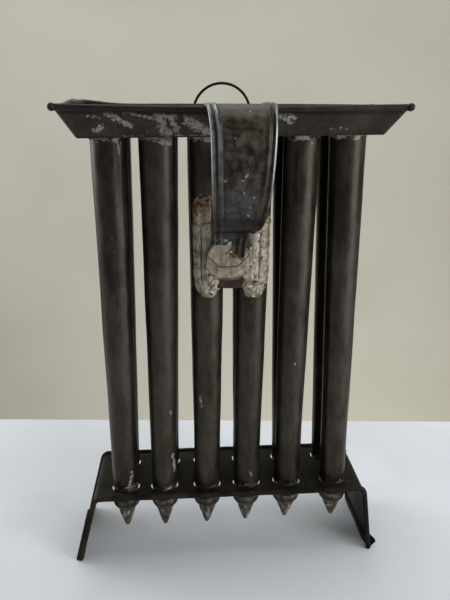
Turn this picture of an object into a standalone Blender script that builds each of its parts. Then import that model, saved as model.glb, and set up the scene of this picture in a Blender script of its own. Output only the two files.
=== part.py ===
"""Twelve-tube tinplate candle mould: pouring tray, tubes with conical tips, folded stand, handle and hanging ring.

Metres, +Z up. The handle is at the front (-Y), the hanging ring at the back (+Y), and the feet stand on Z = 0.
"""

import math

import bmesh
import bpy
from mathutils import Vector

MM = 0.001
GAP = 0.35 * MM                 # clearance between touching pieces
SHEET = 0.8 * MM                # tinplate, a lapped double thickness
MERGE = 0.05 * MM               # vertices closer than this are one
CUT_DEPTH = 6 * SHEET           # height of the cutters that pierce a sheet

# Tubes
TUBES_PER_ROW = 6
TUBE_PITCH = 30.5 * MM
ROW_Y = {"front": -16.75 * MM, "back": 16.75 * MM}
TUBE_TOP_R = 11.75 * MM         # outer radius at the tray floor
TUBE_FOOT_R = 8.95 * MM         # outer radius at the stand plate
TUBE_END_Z = 41.0 * MM
TUBE_SIDES = 24
# How far each hand-set tube sits from its even spacing, at the tray floor and at the stand plate.
TOP_DRIFT = {"front": (-0.5, -0.8, 0.5, 0.3, -0.6, -1.5), "back": (-0.8, 0.6, -0.5, -0.5, -2.4, -1.8)}
FOOT_DRIFT = {"front": (0.0, -2.3, -1.5, -2.9, -3.6, 0.6), "back": (-1.2, -1.0, -0.9, -0.9, -0.6, 1.0)}

# Conical tips soldered over the tubes' lower ends
TIP_COLLAR_R = 9.65 * MM
TIP_COLLAR_TOP_Z = 44.0 * MM
TIP_SHOULDER_Z = 39.8 * MM
TIP_CONE_R = 7.1 * MM
TIP_CONE_Z = 35.6 * MM
TIP_END_R = 1.6 * MM
TIP_END_Z = 19.8 * MM
WICK_HOLE_R = 0.8 * MM

# Pouring tray
TRAY_FLOOR_Z = 301.0 * MM       # underside of the floor
TRAY_HALF_X = 94.5 * MM         # walls' mid planes at the floor
TRAY_HALF_Y = 31.0 * MM
RIM_HALF_X = 107.0 * MM         # centre lines of the rolled rims
RIM_HALF_Y = 39.6 * MM
RIM_Z = 318.4 * MM
RIM_R = 1.9 * MM
RIM_END_OVERRUN = 0.6 * MM      # how far the end rims pass the side rims

# Folded stand
PLATE_Z = 51.6 * MM             # mid plane of the plate
BEND_HALF_X = 97.5 * MM
BEND_R = 5.0 * MM
FOOT_X = {"left": -110.5 * MM, "right": 104.0 * MM}
STAND_WIRE_Y = 31.5 * MM
STAND_WIRE_R = 2.0 * MM
STAND_WIRE_END_Z = 0.7 * MM
HEM_THICK = 2.0 * MM            # folded lower edge of each leg
HEM_HEIGHT = 5.0 * MM
HEM_TAPER = 1.2                 # the hem's fold meets the sheet this much higher than its lip
HOLE_EASE_X = 1.3 * MM          # the plate's holes are loose sideways
HOLE_EASE_Y = 0.5 * MM

# Strap handle: stations of the strap's mid surface as (Y, Z, left edge X, right edge X), in millimetres
STRAP_STATIONS = (
    (-37.6, 321.2, -16.2, 22.0),
    (-52.0, 321.9, -16.4, 21.8),
    (-66.0, 321.2, -16.6, 21.4),
    (-76.0, 316.5, -16.6, 20.8),
    (-81.0, 306.0, -16.5, 19.9),
    (-82.0, 290.0, -16.4, 19.0),
    (-80.5, 274.0, -16.1, 17.6),
    (-75.0, 260.5, -15.6, 15.4),
    (-62.0, 250.4, -14.7, 13.0),
    (-46.0, 246.6, -14.0, 11.7),
    (-37.0, 244.2, -13.5, 10.8),
    (-34.2, 240.0, -13.3, 9.8),
    (-33.9, 226.5, -13.2, 7.8),
)
STRAP_EDGE_R = 1.15 * MM        # rolled edges of the strap
STRAP_STEPS = 3

# Pieces that carry the strap's tail
BRIDGE_X = (-13.0 * MM, 10.8 * MM)
BRIDGE_Z = (204.8 * MM, 263.0 * MM)
BRIDGE_Y = -28.85 * MM
PAD_X = (-17.4 * MM, 11.6 * MM)
PAD_Z = (213.6 * MM, 262.0 * MM)
PAD_BACK_Y = -29.6 * MM
PAD_FRONT_Y = -32.3 * MM
PAD_CLIP = 7.0 * MM
PAD_BEVEL = 5.0 * MM
PAD_DRAFT = 0.8 * MM            # the front face is this much smaller all round
SOLDER_THICK = 0.9 * MM
SOLDER_COLUMNS = 8
SOLDER_SPANS = {                # tube number, start and end angles from straight ahead, lower and upper Z
    "left": (2, -62.0, 9.0, 198.5 * MM, 263.5 * MM),
    "right": (3, -14.0, 62.0, 198.0 * MM, 252.5 * MM),
}

# Hanging ring and its lug
RING_X = -2.2 * MM
RING_AXIS_Y = 43.2 * MM
RING_AXIS_Z = 314.9 * MM
RING_R = 20.15 * MM             # centre line of the arc
RING_ARC_LIFT = -0.4 * MM
RING_WIRE_R = 0.95 * MM
RING_LEAN = math.radians(7.3)
RING_BAR_HALF = 15.5 * MM
RING_CORNER_ANGLE = 12          # degrees of arc left out where the arc turns into the bar
RING_ARC_STEPS = 22
RING_CORNER_STEPS = 4
LUG_HALF_X = 7.0 * MM
LUG_EYE_R = 2.2 * MM
LUG_BORE_R = 1.4 * MM
LUG_LEAF = 1.0 * MM
LUG_LEAF_SPAN = (2.0 * MM, 11.0 * MM)
LUG_EYE_STEPS = 20
LUG_BORE_STEPS = 16


def start_scene():
    """Empty the file and make the two collections."""
    for thing in list(bpy.data.objects):
        bpy.data.objects.remove(thing, do_unlink=True)
    made = []
    for name in ("candle_mould", "cutters"):
        group = bpy.data.collections.get(name) or bpy.data.collections.new(name)
        if name not in bpy.context.scene.collection.children:
            bpy.context.scene.collection.children.link(group)
        made.append(group)
    return made


PARTS, CUTTERS = start_scene()


def finish(name, colour, roughness, metallic):
    """A plain material for one sort of piece."""
    surface = bpy.data.materials.new(name)
    surface.use_nodes = True
    shader = surface.node_tree.nodes["Principled BSDF"]
    shader.inputs["Base Color"].default_value = (*colour, 1.0)
    shader.inputs["Roughness"].default_value = roughness
    shader.inputs["Metallic"].default_value = metallic
    return surface


AGED_TIN = finish("aged_tin", (0.075, 0.068, 0.060), 0.45, 0.9)
TRAY_TIN = finish("tray_tin", (0.085, 0.078, 0.070), 0.45, 0.9)
STRAP_TIN = finish("strap_tin", (0.110, 0.112, 0.115), 0.38, 0.9)
IRON_WIRE = finish("iron_wire", (0.035, 0.032, 0.030), 0.50, 0.9)
SOLDER = finish("solder", (0.300, 0.280, 0.240), 0.60, 0.6)


def place(piece, surface, location=(0, 0, 0), rotation=(0, 0, 0)):
    """Link a piece into the mould's collection and give it its finish and place."""
    PARTS.objects.link(piece)
    piece.data.materials.append(surface)
    piece.location = location
    piece.rotation_euler = rotation
    return piece


def as_mesh(curve_object):
    """Turn a curve object into a welded mesh object with the same name and place."""
    bpy.context.view_layer.update()
    evaluated = curve_object.evaluated_get(bpy.context.evaluated_depsgraph_get())
    mesh = bpy.data.meshes.new_from_object(evaluated)
    weld = bmesh.new()
    weld.from_mesh(mesh)
    bmesh.ops.remove_doubles(weld, verts=weld.verts, dist=MERGE)
    weld.to_mesh(mesh)
    weld.free()
    name = curve_object.name
    matrix = curve_object.matrix_world.copy()
    bpy.data.objects.remove(curve_object, do_unlink=True)
    piece = bpy.data.objects.new(name, mesh)
    piece.matrix_world = matrix
    PARTS.objects.link(piece)
    return piece


def shade_round(piece, angle=35):
    """Smooth shading with sharp folds kept."""
    piece.data.shade_smooth()
    piece.data.set_sharp_from_angle(angle=math.radians(angle))


def turned(name, profile, surface, location, rotation):
    """A body of revolution from a closed (radius, height) profile that runs down its outer side."""
    mesh = bpy.data.meshes.new(name)
    count = len(profile)
    edges = [(i, (i + 1) % count) for i in range(count)]
    mesh.from_pydata([(r, 0, z) for r, z in profile], edges, [])
    piece = place(bpy.data.objects.new(name, mesh), surface, location, rotation)
    screw = piece.modifiers.new("turn", "SCREW")
    screw.axis = "Z"
    screw.steps = screw.render_steps = TUBE_SIDES
    screw.use_merge_vertices = True
    screw.merge_threshold = MERGE
    screw.use_smooth_shade = True
    return piece


def wire(name, points, radius, surface, cyclic=False, location=(0, 0, 0), rotation=(0, 0, 0), sides=2):
    """A round wire along a chain of points."""
    data = bpy.data.curves.new(name, "CURVE")
    data.dimensions = "3D"
    data.bevel_depth = radius
    data.bevel_resolution = sides
    data.use_fill_caps = True
    data.resolution_u = 1
    data.render_resolution_u = 0
    spline = data.splines.new("POLY")
    spline.points.add(len(points) - 1)
    for point, position in zip(spline.points, points):
        point.co = (*position, 1.0)
    spline.use_cyclic_u = cyclic
    return place(bpy.data.objects.new(name, data), surface, location, rotation)


def flat_sheet(name, loops, thickness, surface, location=(0, 0, 0), rotation=(0, 0, 0)):
    """A flat piece cut to closed outlines (the first is the outside), centred on its own XY plane."""
    data = bpy.data.curves.new(name, "CURVE")
    data.dimensions = "2D"
    data.fill_mode = "BOTH"
    data.extrude = thickness / 2
    data.resolution_u = 1
    data.render_resolution_u = 0
    for loop in loops:
        spline = data.splines.new("POLY")
        spline.points.add(len(loop) - 1)
        for point, (x, y) in zip(spline.points, loop):
            point.co = (x, y, 0, 1)
        spline.use_cyclic_u = True
    return place(bpy.data.objects.new(name, data), surface, location, rotation)


def arc(centre, radius, start, end, steps):
    """Points on an arc, with angles in degrees."""
    angles = [math.radians(start + (end - start) * i / steps) for i in range(steps + 1)]
    return [(centre[0] + radius * math.cos(a), centre[1] + radius * math.sin(a)) for a in angles]


def rounded_corner(before, corner, after, radius, steps=5):
    """Points of a fillet of the given radius where two straight runs meet in a plane."""
    before, corner, after = Vector(before), Vector(corner), Vector(after)
    one = (before - corner).normalized()
    two = (after - corner).normalized()
    half = one.angle(two) / 2
    centre = corner + (one + two).normalized() * (radius / math.sin(half))
    first = corner + one * (radius / math.tan(half)) - centre
    last = corner + two * (radius / math.tan(half)) - centre
    start = math.degrees(math.atan2(first.y, first.x))
    sweep = math.degrees(math.atan2(first.cross(last), first.dot(last)))
    return [Vector(point) for point in arc(centre, radius, start, start + sweep, steps)]


def cut_with(piece, cutters):
    """Cut upright oval holes, given by their centres and two radii, out of a piece."""
    mesh = bpy.data.meshes.new(piece.name + "_holes")
    joined = bmesh.new()
    for position, radius_x, radius_y in cutters:
        made = bmesh.ops.create_cone(
            joined, cap_ends=True, segments=TUBE_SIDES, radius1=1, radius2=1, depth=CUT_DEPTH
        )
        bmesh.ops.scale(joined, verts=made["verts"], vec=(radius_x, radius_y, 1))
        bmesh.ops.translate(joined, verts=made["verts"], vec=position)
    joined.to_mesh(mesh)
    joined.free()
    cutter = bpy.data.objects.new(piece.name + "_holes", mesh)
    cutter.hide_render = True
    cutter.display_type = "WIRE"
    CUTTERS.objects.link(cutter)
    boolean = piece.modifiers.new("holes", "BOOLEAN")
    boolean.operation = "DIFFERENCE"
    boolean.object = cutter


# ---- Tubes and tips ----

def tube_x(row, number, z):
    """X of a tube's axis at a height: even spacing plus its own small drift."""
    even = (number - (TUBES_PER_ROW - 1) / 2) * TUBE_PITCH
    share = (z - PLATE_Z) / (TRAY_FLOOR_Z - PLATE_Z)
    drift = FOOT_DRIFT[row][number] * (1 - share) + TOP_DRIFT[row][number] * share
    return even + drift * MM


def tube_radius(z):
    """Outer radius of a tube at a height."""
    share = (z - PLATE_Z) / (TRAY_FLOOR_Z - PLATE_Z)
    return TUBE_FOOT_R + (TUBE_TOP_R - TUBE_FOOT_R) * share


def tube_placing(row, number):
    """Location at the stand plate and the small sideways lean of a tube."""
    foot_x = tube_x(row, number, PLATE_Z)
    lean = math.atan2(tube_x(row, number, TRAY_FLOOR_Z) - foot_x, TRAY_FLOOR_Z - PLATE_Z)
    return (foot_x, ROW_Y[row], PLATE_Z), (0, lean, 0)


def tube(row, number):
    """A tapered tube, open at both ends, from the tray floor down into its tip."""
    top = TRAY_FLOOR_Z + SHEET
    location, rotation = tube_placing(row, number)
    outer = [(tube_radius(top), top - PLATE_Z), (tube_radius(TUBE_END_Z), TUBE_END_Z - PLATE_Z)]
    inner = [(r - SHEET, z) for r, z in reversed(outer)]
    turned(f"tube_{row}_{number + 1}", outer + inner, AGED_TIN, location, rotation)


def tip(row, number):
    """A conical cap with a collar round the tube's end and a wick hole at its point."""
    location, rotation = tube_placing(row, number)
    bore = tube_radius(TUBE_END_Z) + GAP
    profile = [
        (TIP_COLLAR_R, TIP_COLLAR_TOP_Z),
        (TIP_COLLAR_R, TIP_SHOULDER_Z),
        (TIP_CONE_R, TIP_CONE_Z),
        (TIP_END_R, TIP_END_Z),
        (WICK_HOLE_R, TIP_END_Z),
        (TIP_CONE_R - SHEET, TIP_CONE_Z + SHEET / 2),
        (bore, TIP_SHOULDER_Z + SHEET / 2),
        (bore, TIP_COLLAR_TOP_Z),
    ]
    lowered = [(r, z - PLATE_Z) for r, z in profile]
    turned(f"tip_{row}_{number + 1}", lowered, AGED_TIN, location, rotation)


def all_tubes():
    """Row name and number of each tube."""
    return [(row, number) for row in ROW_Y for number in range(TUBES_PER_ROW)]


# ---- Pouring tray ----

def tray_floor():
    """The tray's flat floor with a hole for each tube."""
    inset = SHEET / 2 + 2 * GAP
    half_x = TRAY_HALF_X - inset
    half_y = TRAY_HALF_Y - inset
    outline = [(-half_x, -half_y), (half_x, -half_y), (half_x, half_y), (-half_x, half_y)]
    middle = TRAY_FLOOR_Z + SHEET / 2
    floor = as_mesh(flat_sheet("tray_floor", [outline], SHEET, TRAY_TIN, (0, 0, middle)))
    hole = TUBE_TOP_R + GAP
    cut_with(floor, [
        ((tube_x(row, number, TRAY_FLOOR_Z), ROW_Y[row], middle), hole, hole)
        for row, number in all_tubes()
    ])


def tray_wall(name, half_length, flare_length, half_run, flare_run, turn, ends_inset):
    """A sloping wall from the floor to its rolled rim, facing -Y before it is turned about Z."""
    rise = RIM_Z - TRAY_FLOOR_Z
    slope = math.atan2(flare_run, rise)
    height = rise / math.cos(slope) - RIM_R - GAP
    grow = flare_length / rise * math.cos(slope)
    low = half_length - ends_inset
    high = low + grow * height
    outline = [(-low, 0), (low, 0), (high, height), (-high, height)]
    location = Vector((math.sin(turn) * half_run, -math.cos(turn) * half_run, TRAY_FLOOR_Z))
    flat_sheet(name, [outline], SHEET, TRAY_TIN, location, (math.pi / 2 + slope, 0, turn))


def tray_walls():
    """Four flared walls: the long ones run through and the end ones fit between them."""
    flare_x = RIM_HALF_X - TRAY_HALF_X
    flare_y = RIM_HALF_Y - TRAY_HALF_Y
    through = -SHEET / 2
    between = SHEET / 2 + 2 * GAP
    tray_wall("tray_front_wall", TRAY_HALF_X, flare_x, TRAY_HALF_Y, flare_y, 0, through)
    tray_wall("tray_back_wall", TRAY_HALF_X, flare_x, TRAY_HALF_Y, flare_y, math.pi, through)
    tray_wall("tray_left_end", TRAY_HALF_Y, flare_y, TRAY_HALF_X, flare_x, -math.pi / 2, between)
    tray_wall("tray_right_end", TRAY_HALF_Y, flare_y, TRAY_HALF_X, flare_x, math.pi / 2, between)


def tray_rims():
    """Rims rolled round a wire: the end ones run past the long ones, as the balls at the corners."""
    side = RIM_HALF_X - RIM_R - GAP
    end = RIM_HALF_Y + RIM_R + RIM_END_OVERRUN
    for name, y in (("rim_front", -RIM_HALF_Y), ("rim_back", RIM_HALF_Y)):
        wire(name, [(-side, y, RIM_Z), (0, y, RIM_Z), (side, y, RIM_Z)], RIM_R, TRAY_TIN, sides=3)
    for name, x in (("rim_left", -RIM_HALF_X), ("rim_right", RIM_HALF_X)):
        wire(name, [(x, -end, RIM_Z), (x, 0, RIM_Z), (x, end, RIM_Z)], RIM_R, TRAY_TIN, sides=3)


# ---- Stand ----

def stand_path(foot_z, offset=0.0):
    """The stand's bent line in XZ, foot to foot, moved outwards by an offset."""
    chain = []
    for side, sign in (("left", -1), ("right", 1)):
        base = Vector((FOOT_X[side], 0))
        climb = (Vector((sign * BEND_HALF_X, PLATE_Z)) - base).normalized()
        base += Vector((sign * climb.y, -sign * climb.x)) * offset
        foot = base + climb * ((foot_z - base.y) / climb.y)
        corner = base + climb * ((PLATE_Z + offset - base.y) / climb.y)
        run = [foot] + rounded_corner(foot, corner, (0, PLATE_Z + offset), BEND_R + offset)
        chain += run if side == "left" else run[::-1]
    return chain


def stand_sheet():
    """Plate and two legs folded from one sheet, with hemmed feet cut level."""
    outer = stand_path(0, SHEET / 2)
    inner = stand_path(0, -SHEET / 2)
    hems = []
    for sign, side, point in ((-1, "left", inner[0]), (1, "right", inner[-1])):
        climb = Vector((sign * BEND_HALF_X, PLATE_Z)) - Vector((FOOT_X[side], 0))
        rise = climb * (HEM_HEIGHT / climb.y)
        low = point - Vector((sign * (HEM_THICK - SHEET), 0))
        hems.append([low, low + rise, point + rise * HEM_TAPER])
    outline = outer + hems[1] + inner[1:-1][::-1] + hems[0][::-1]
    depth = 2 * (STAND_WIRE_Y - STAND_WIRE_R - GAP)
    sheet = as_mesh(flat_sheet("stand_sheet", [outline], depth, AGED_TIN, rotation=(math.pi / 2, 0, 0)))
    cut_with(sheet, [
        (
            (tube_x(row, number, PLATE_Z), ROW_Y[row], PLATE_Z),
            TUBE_FOOT_R + HOLE_EASE_X,
            TUBE_FOOT_R + HOLE_EASE_Y,
        )
        for row, number in all_tubes()
    ])


def stand_wires():
    """Wires rolled into the stand's front and back edges, down to just above the feet."""
    chain = stand_path(STAND_WIRE_END_Z)
    for name, y in (("stand_wire_front", -STAND_WIRE_Y), ("stand_wire_back", STAND_WIRE_Y)):
        wire(name, [(p.x, y, p.y) for p in chain], STAND_WIRE_R, AGED_TIN, sides=3)


# ---- Handle ----

def smooth(stations, steps):
    """Catmull-Rom points through a chain of stations."""
    padded = [stations[0], *stations, stations[-1]]
    chain = []
    for a, b, c, d in zip(padded, padded[1:], padded[2:], padded[3:]):
        for i in range(steps):
            t = i / steps
            chain.append(tuple(
                0.5 * (2 * q + (r - p) * t + (2 * p - 5 * q + 4 * r - s) * t * t
                       + (3 * q - p - 3 * r + s) * t ** 3)
                for p, q, r, s in zip(a, b, c, d)
            ))
    return chain + [tuple(map(float, stations[-1]))]


def handle_strap():
    """The tapering strap, over the rim, out and back to the tubes, and its two rolled edges."""
    chain = [tuple(v * MM for v in station) for station in smooth(STRAP_STATIONS, STRAP_STEPS)]
    inset = 2 * STRAP_EDGE_R + GAP
    verts = []
    for y, z, left, right in chain:
        verts += [(left + inset, y, z), ((left + right) / 2, y, z), (right - inset, y, z)]
    faces = []
    for row in range(len(chain) - 1):
        for column in range(2):
            corner = 3 * row + column
            faces.append((corner, corner + 1, corner + 4, corner + 3))
    mesh = bpy.data.meshes.new("handle_strap")
    mesh.from_pydata(verts, [], faces)
    strap = place(bpy.data.objects.new("handle_strap", mesh), STRAP_TIN)
    solid = strap.modifiers.new("sheet", "SOLIDIFY")
    solid.thickness = SHEET
    solid.offset = 0
    solid.use_even_offset = True
    shade_round(strap)
    left_edge = [(left + STRAP_EDGE_R, y, z) for y, z, left, right in chain]
    right_edge = [(right - STRAP_EDGE_R, y, z) for y, z, left, right in chain]
    wire("handle_edge_left", left_edge, STRAP_EDGE_R, STRAP_TIN)
    wire("handle_edge_right", right_edge, STRAP_EDGE_R, STRAP_TIN)


def handle_bridge():
    """The sheet soldered across the two middle tubes behind the strap's tail."""
    x0, x1 = BRIDGE_X
    z0, z1 = BRIDGE_Z
    outline = [(x0, z0), (x1, z0), (x1, z1), (x0, z1)]
    flat_sheet("handle_bridge", [outline], SHEET, AGED_TIN, (0, BRIDGE_Y, 0), (math.pi / 2, 0, 0))


def handle_pad():
    """A thick clipped-corner pad on the bridge, with a sloping lower edge."""
    x0, x1 = PAD_X
    z0, z1 = PAD_Z
    clip = PAD_CLIP
    back = [(x0 + clip, z0), (x1 - clip, z0), (x1, z0 + clip), (x1, z1 - clip),
            (x1 - clip, z1), (x0 + clip, z1), (x0, z1 - clip), (x0, z0 + clip)]
    lift = {z0: PAD_BEVEL, z0 + clip: PAD_BEVEL}
    front = [(x + math.copysign(PAD_DRAFT, -x), z + lift.get(z, -PAD_DRAFT)) for x, z in back]
    verts = [(x, PAD_BACK_Y, z) for x, z in back] + [(x, PAD_FRONT_Y, z) for x, z in front]
    count = len(back)
    faces = [tuple(range(count))[::-1], tuple(range(count, 2 * count))]
    faces += [(i, (i + 1) % count, (i + 1) % count + count, i + count) for i in range(count)]
    mesh = bpy.data.meshes.new("handle_pad")
    mesh.from_pydata(verts, [], faces)
    body = bmesh.new()
    body.from_mesh(mesh)
    bmesh.ops.recalc_face_normals(body, faces=body.faces)
    body.to_mesh(mesh)
    body.free()
    place(bpy.data.objects.new("handle_pad", mesh), SOLDER)


def handle_solder():
    """Solder wiped round the front of each middle tube, beside the bridge."""
    for side, (number, start, end, low, high) in SOLDER_SPANS.items():
        verts = []
        for z in (low, (low + high) / 2, high):
            radius = tube_radius(z) + GAP + SOLDER_THICK / 2
            centre = tube_x("front", number, z)
            for column in range(SOLDER_COLUMNS + 1):
                angle = math.radians(start + (end - start) * column / SOLDER_COLUMNS)
                verts.append((centre + radius * math.sin(angle),
                              ROW_Y["front"] - radius * math.cos(angle), z))
        width = SOLDER_COLUMNS + 1
        faces = [
            (row * width + i, row * width + i + 1, (row + 1) * width + i + 1, (row + 1) * width + i)
            for row in range(2) for i in range(SOLDER_COLUMNS)
        ]
        mesh = bpy.data.meshes.new("handle_solder_" + side)
        mesh.from_pydata(verts, [], faces)
        patch = place(bpy.data.objects.new("handle_solder_" + side, mesh), SOLDER)
        solid = patch.modifiers.new("thickness", "SOLIDIFY")
        solid.thickness = SOLDER_THICK
        solid.offset = 0
        shade_round(patch)


# ---- Hanging ring ----

def ring_lug():
    """A folded strip soldered up the back wall, ending in an eye for the ring's bar."""
    rise = RIM_Z - TRAY_FLOOR_Z
    slope = math.atan2(RIM_HALF_Y - TRAY_HALF_Y, rise)
    up = Vector((math.sin(slope), math.cos(slope)))
    out = Vector((math.cos(slope), -math.sin(slope)))
    foot = Vector((TRAY_HALF_Y, TRAY_FLOOR_Z))
    eye = Vector((RING_AXIS_Y, RING_AXIS_Z))
    inner = SHEET / 2 + GAP
    low, high = LUG_LEAF_SPAN

    def on_wall(run, offset):
        return foot + up * run + out * offset

    neck = eye - on_wall(high, inner + LUG_LEAF / 2)
    back = math.degrees(math.atan2(-neck.y, -neck.x))
    spread = math.degrees(math.asin(LUG_LEAF / 2 / LUG_EYE_R))
    turn = arc(eye, LUG_EYE_R, back + spread, back + 360 - spread, LUG_EYE_STEPS)
    outline = [on_wall(low, inner), on_wall(high, inner)]
    tail = [on_wall(high - LUG_LEAF / 2, inner + LUG_LEAF), on_wall(low, inner + LUG_LEAF)]
    first = Vector(turn[0]) - outline[-1]
    last = Vector(turn[-1]) - outline[-1]
    if last.length < first.length:
        turn.reverse()
    bore = arc(eye, LUG_BORE_R, 0, 360, LUG_BORE_STEPS)[:-1]
    flat_sheet("ring_lug", [outline + turn + tail, bore], 2 * LUG_HALF_X, AGED_TIN,
               (RING_X, 0, 0), (math.pi / 2, 0, math.pi / 2))


def hanging_ring():
    """A D-shaped wire ring whose straight bar turns in the lug; it leans forward on the rim."""
    last_angle = 180 - RING_CORNER_ANGLE
    top = arc((0, RING_ARC_LIFT), RING_R, RING_CORNER_ANGLE, last_angle, RING_ARC_STEPS)
    corner = []
    start = Vector(top[-1])
    pull = Vector((-RING_R, 0))
    end = Vector((-RING_BAR_HALF, 0))
    for i in range(1, RING_CORNER_STEPS + 1):
        t = i / RING_CORNER_STEPS
        corner.append(start * (1 - t) ** 2 + pull * 2 * t * (1 - t) + end * t * t)
    bar = [Vector((-RING_BAR_HALF / 2, 0)), Vector((RING_BAR_HALF / 2, 0))]
    mirrored = [Vector((-p.x, p.y)) for p in reversed(corner)]
    chain = [Vector(p) for p in top] + corner + bar + mirrored
    wire("hanging_ring", [(p.x, 0, p.y) for p in chain], RING_WIRE_R, IRON_WIRE, cyclic=True,
         location=(RING_X, RING_AXIS_Y, RING_AXIS_Z), rotation=(RING_LEAN, 0, 0))


def seat_on_origin():
    """Move the whole mould so that its box stands centred on the origin."""
    bpy.context.view_layer.update()
    graph = bpy.context.evaluated_depsgraph_get()
    low = Vector((math.inf, math.inf, 0))
    high = Vector((-math.inf, -math.inf, 0))
    for piece in PARTS.objects:
        evaluated = piece.evaluated_get(graph)
        mesh = evaluated.to_mesh()
        for vertex in mesh.vertices:
            point = evaluated.matrix_world @ vertex.co
            for axis in (0, 1):
                low[axis] = min(low[axis], point[axis])
                high[axis] = max(high[axis], point[axis])
        evaluated.to_mesh_clear()
    shift = (low + high) / -2
    for thing in list(PARTS.objects) + list(CUTTERS.objects):
        thing.location += shift


def build():
    """Make every piece of the mould."""
    for row, number in all_tubes():
        tube(row, number)
        tip(row, number)
    tray_floor()
    tray_walls()
    tray_rims()
    stand_sheet()
    stand_wires()
    handle_strap()
    handle_bridge()
    handle_pad()
    handle_solder()
    ring_lug()
    hanging_ring()
    seat_on_origin()


build()
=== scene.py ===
"""Looks of an old twelve-tube tinplate candle mould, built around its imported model.

Pieces are shaped in millimetres from the middle of the tray (X right, Y back, Z up from the floor)
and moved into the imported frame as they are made.
"""

import math

import bmesh
import bpy
import numpy as np
from mathutils import Euler, Matrix, Vector, noise


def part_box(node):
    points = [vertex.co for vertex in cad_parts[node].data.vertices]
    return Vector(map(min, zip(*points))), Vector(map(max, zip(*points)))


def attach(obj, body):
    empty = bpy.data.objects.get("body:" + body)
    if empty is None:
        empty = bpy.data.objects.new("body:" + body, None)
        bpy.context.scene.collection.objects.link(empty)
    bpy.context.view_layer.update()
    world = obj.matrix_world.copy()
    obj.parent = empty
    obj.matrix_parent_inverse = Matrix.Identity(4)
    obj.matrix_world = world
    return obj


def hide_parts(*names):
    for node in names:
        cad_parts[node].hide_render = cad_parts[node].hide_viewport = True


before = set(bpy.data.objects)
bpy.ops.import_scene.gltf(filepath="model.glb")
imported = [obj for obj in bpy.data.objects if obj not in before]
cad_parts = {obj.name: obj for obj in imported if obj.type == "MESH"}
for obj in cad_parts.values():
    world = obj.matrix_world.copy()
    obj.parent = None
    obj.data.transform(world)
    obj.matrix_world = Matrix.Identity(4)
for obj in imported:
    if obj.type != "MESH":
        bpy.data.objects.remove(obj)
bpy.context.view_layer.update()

MM = 0.001
WELD = 1e-4                                 # points closer than this, in millimetres, are one
TRAY_LOW, TRAY_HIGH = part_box("tray_floor")
ORIGIN = np.array([(TRAY_LOW.x + TRAY_HIGH.x) / 2, (TRAY_LOW.y + TRAY_HIGH.y) / 2, 0.0])

ROWS = {"front": -16.75, "back": 16.75}     # Y of the two rows of tubes
PER_ROW = 6
PITCH = 30.5
SHEET = 0.8                                 # thickness of the tinplate

# Pouring tray
FLOOR_Z = 301.4                             # mid plane of the floor
TRAY_HALF = np.array([94.5, 31.0])          # walls at the floor
RIM_HALF = np.array([106.1, 39.6])          # walls at the rims
RIM_Z = 318.4
RIM_R = 1.9

# Stand
PLATE_Z = 51.6
STAND_LINE = ((-110.5, 0.0), (-97.5, PLATE_Z), (97.5, PLATE_Z), (104.0, 0.0))
BEND_R = 5.0
STAND_EDGE_Y = 31.5
STAND_EDGE_R = 2.0

# Strap handle: Y, Z and the X of the left and right edges
STRAP = (
    (-37.6, 319.6, -17.6, 22.2),
    (-52.0, 319.9, -17.6, 22.6),
    (-66.0, 319.2, -17.5, 21.9),
    (-76.0, 314.6, -16.8, 20.9),
    (-81.0, 304.8, -15.8, 20.4),
    (-82.0, 289.5, -15.5, 19.5),
    (-80.5, 274.0, -15.2, 18.2),
    (-75.0, 260.5, -14.6, 16.6),
    (-62.0, 250.4, -13.8, 14.9),
    (-46.0, 246.4, -13.2, 12.2),
    (-37.0, 243.8, -12.8, 10.9),
    (-34.4, 239.0, -12.7, 9.4),
    (-34.0, 226.5, -12.6, 7.9),
)

# Hanging ring
RING_X = -2.2
RING_AXIS = np.array([RING_X, 43.2, 314.9])
RING_R = 20.15
RING_ARC_LIFT = -0.4
RING_WIRE_R = 0.95
RING_LEAN = math.radians(7.3)
RING_BAR_HALF = 15.5


# ---- Materials ----

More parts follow.
